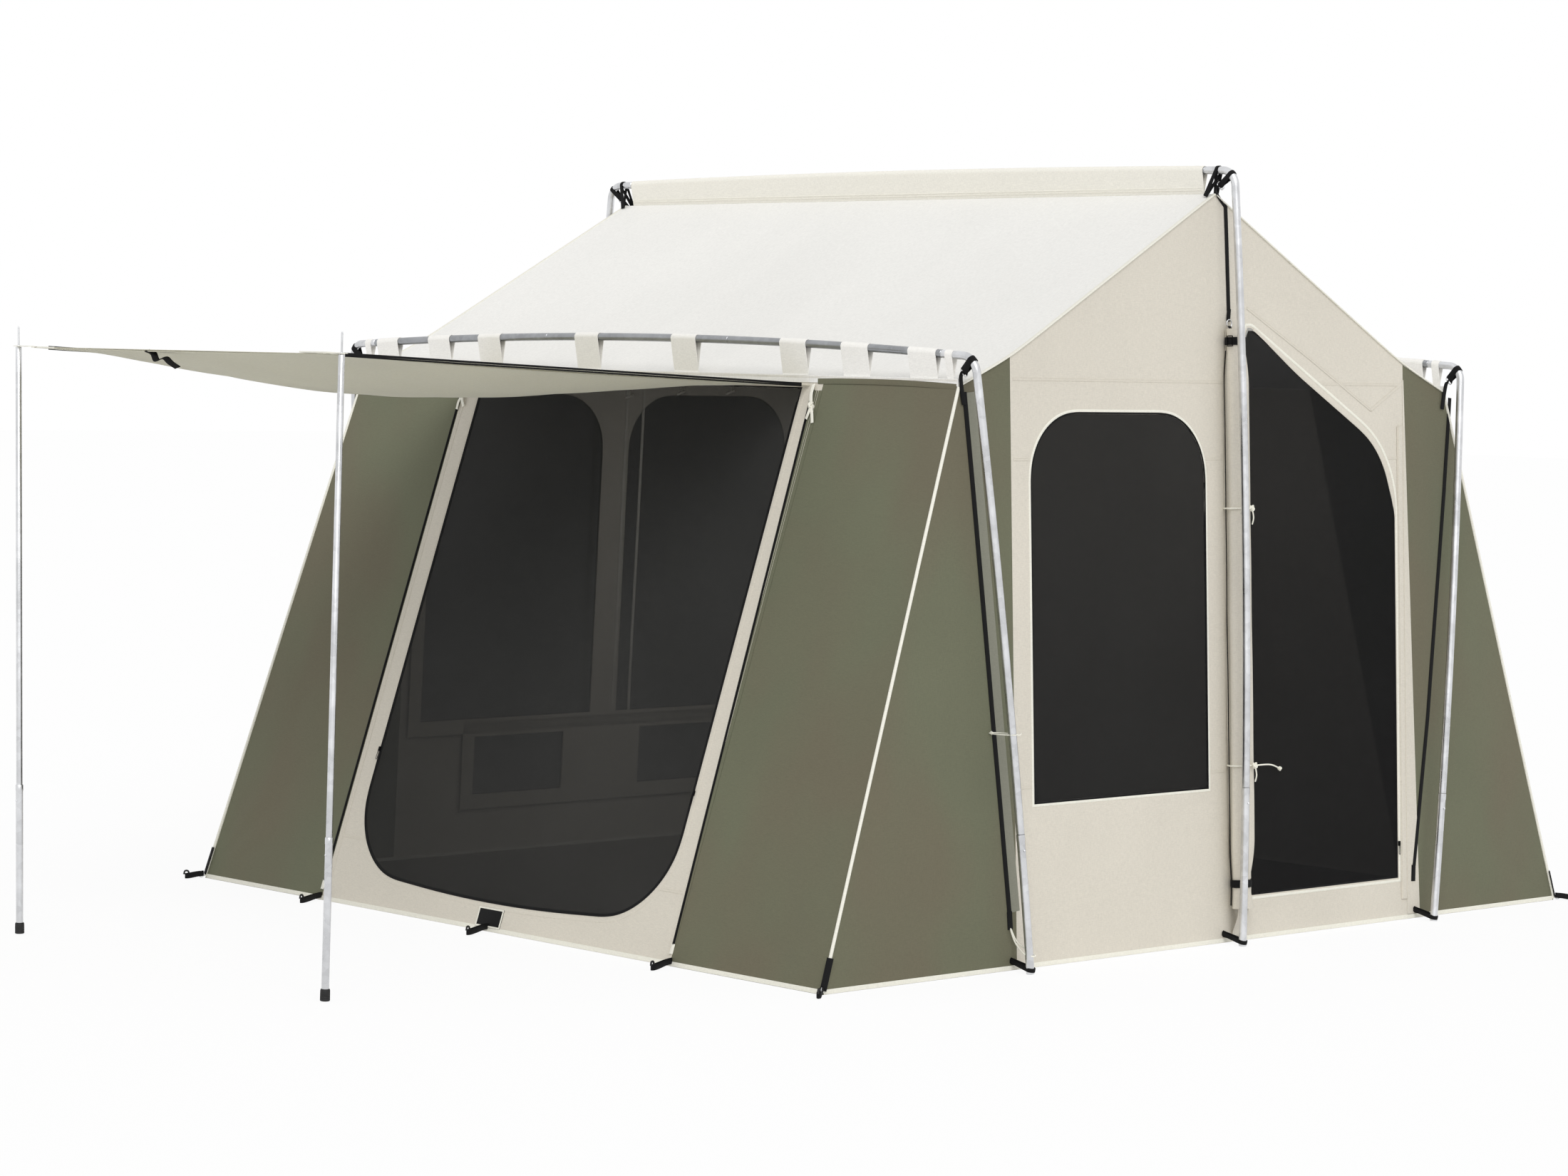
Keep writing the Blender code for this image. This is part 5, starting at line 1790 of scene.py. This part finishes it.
def build_laps(door, gusset_back):
    """Laps: olive by the porch zip, cream beside the side door, and olive at the wall's head."""
    build_lap("flank_lap", "olive", door, 0.05, 1.70, lambda z, v: lap_edge(z),
              lambda z, v: door_panel_half_width + 0.004, 0.0012, 0.0008)
    build_lap("gable_lap", "cream", gusset_back, 0.016, 1.80, lambda z, v: break_half_width - 0.004,
              lambda z, v: break_half_width + 0.062 * (1.0 - v) + 0.002, 0.0014, 0.001)
    hem = Piece("wall_head_laps", "olive")
    for low, high in ((0.862, 1.466), (-1.466, -0.90)):
        line = []
        for x in spread(low, high, 40):
            rise = 0.010 * (1.0 - ((abs(x) - 1.09) / 0.40) ** 2)
            line.append(Vector((x, -band_centre - band_half_thickness - 0.0002, eave_height + rise - 0.005)))
        hem.strip(line, Vector(front), 0.017, 0.0009)
    hem.done()


front_route, back_route = [hoop_route(side, eave_bar_height, eave_bar_rise, eave_corner_half_length,
                                      eave_leg_bow, eave_foot_half_width, band_centre) for side in ends]
ridge_route = hoop_route(1.0, ridge_bar_height, ridge_bar_rise, ridge_corner_half_length, ridge_leg_bow,
                         0.0, 0.0)
routes = (front_route, back_route, ridge_route)
panels = {}
build_walls(panels)
build_gables(panels)
build_nets(panels)
front_door, side_gable = panels["front_door_panel"], panels["gable_panel_right"]
build_groundsheet()
build_roof()
build_sleeve(ridge_route)
build_eave(-1.0, "front", front_route)
build_eave(1.0, "back", back_route)
build_hoop("front", front_route, eave_leg_lower_length)
build_hoop("back", back_route, eave_leg_lower_length)
build_hoop("ridge", ridge_route, ridge_leg_lower_length)
build_poles()
build_porch()
build_flap_roll(side_gable.face)
build_sliders(panels)
build_hems(panels)
build_wall_trim(panels)
build_gable_trim(panels)
build_side_screen_head(panels["side_screen"])
build_hoop_straps(routes)
build_foot_loops(routes)
build_stakes()
build_door_ties(front_door.face)
build_toggles(front_door.face)
build_cords(side_gable.face, panels["gusset_front_right"])
build_roll_straps(side_gable)
build_porch_trim()
build_patch(front_door.face)
build_laps(front_door.face, panels["gusset_back_right"].face)


# Stage

def build_world():
    """White to the camera and in reflections, and a plain even light on the tent."""
    world = bpy.data.worlds.new("Studio")
    bpy.context.scene.world = world
    world.use_nodes = True
    nodes = Nodes(world.node_tree)
    background = nodes.tree.nodes["Background"]
    background.inputs["Color"].default_value = white
    nodes.feed(background.inputs["Strength"], nodes.range(nodes.seen(), sky_level, 1.0))


def build_floor():
    look = Look("Studio floor", None, 1.0)
    look.set("Base Color", look.mix(look.noise(0.4, 2.0), (0.97, 0.97, 0.97, 1.0), white))
    look.set("Specular IOR Level", 0.0)
    glow = look.node("ShaderNodeEmission", {"Color": white, "Strength": 1.0})
    share = look.sum(look.seen(), floor_white_share, "MULTIPLY")
    blend = look.node("ShaderNodeMixShader", {0: share, 1: look.shader.outputs[0], 2: glow.outputs[0]})
    look.feed(look.tree.nodes["Material Output"].inputs["Surface"], blend.outputs[0])
    bm = bmesh.new()
    bmesh.ops.create_grid(bm, x_segments=1, y_segments=1, size=floor_size,
                          matrix=Matrix.Translation((0.0, 0.0, floor_height)))
    mesh = bpy.data.meshes.new("studio_floor")
    bm.to_mesh(mesh)
    bm.free()
    mesh.materials.append(look.material)
    linked("studio_floor", mesh)


def build_lights():
    """A wide sun, and two lamps inside the tent for the daylight that comes through its canvas."""
    lamp = bpy.data.lights.new("Key", "SUN")
    lamp.energy = sun_strength
    lamp.angle = sun_angle
    item = linked("Key", lamp)
    item.location = sun_place
    item.rotation_euler = sun_place.to_track_quat("Z", "Y").to_euler()
    for number, place in enumerate(inner_places):
        lamp = bpy.data.lights.new(f"Through canvas {number}", "POINT")
        lamp.energy = inner_strength
        lamp.shadow_soft_size = inner_size
        linked(f"Through canvas {number}", lamp).location = place


def build_camera():
    pointing = Vector((math.cos(camera_pitch) * math.cos(camera_heading),
                       math.cos(camera_pitch) * math.sin(camera_heading), math.sin(camera_pitch)))
    level = Vector((math.sin(camera_heading), -math.cos(camera_heading), 0.0))
    raised = level.cross(pointing)
    across = level * math.cos(camera_roll) + raised * math.sin(camera_roll)
    up = raised * math.cos(camera_roll) - level * math.sin(camera_roll)
    lens = bpy.data.cameras.new("Camera")
    lens.sensor_width = sensor_width_mm
    lens.lens = sensor_width_mm * photo_focal_px / photo_width_px
    lens.clip_end = camera_reach
    camera = linked("Camera", lens)
    turn = Matrix((across, up, -pointing)).transposed()
    camera.matrix_world = Matrix.Translation(camera_place) @ turn.to_4x4()
    bpy.context.scene.camera = camera


build_world()
build_floor()
build_lights()
build_camera()
bpy.context.scene.view_settings.view_transform = "Standard"
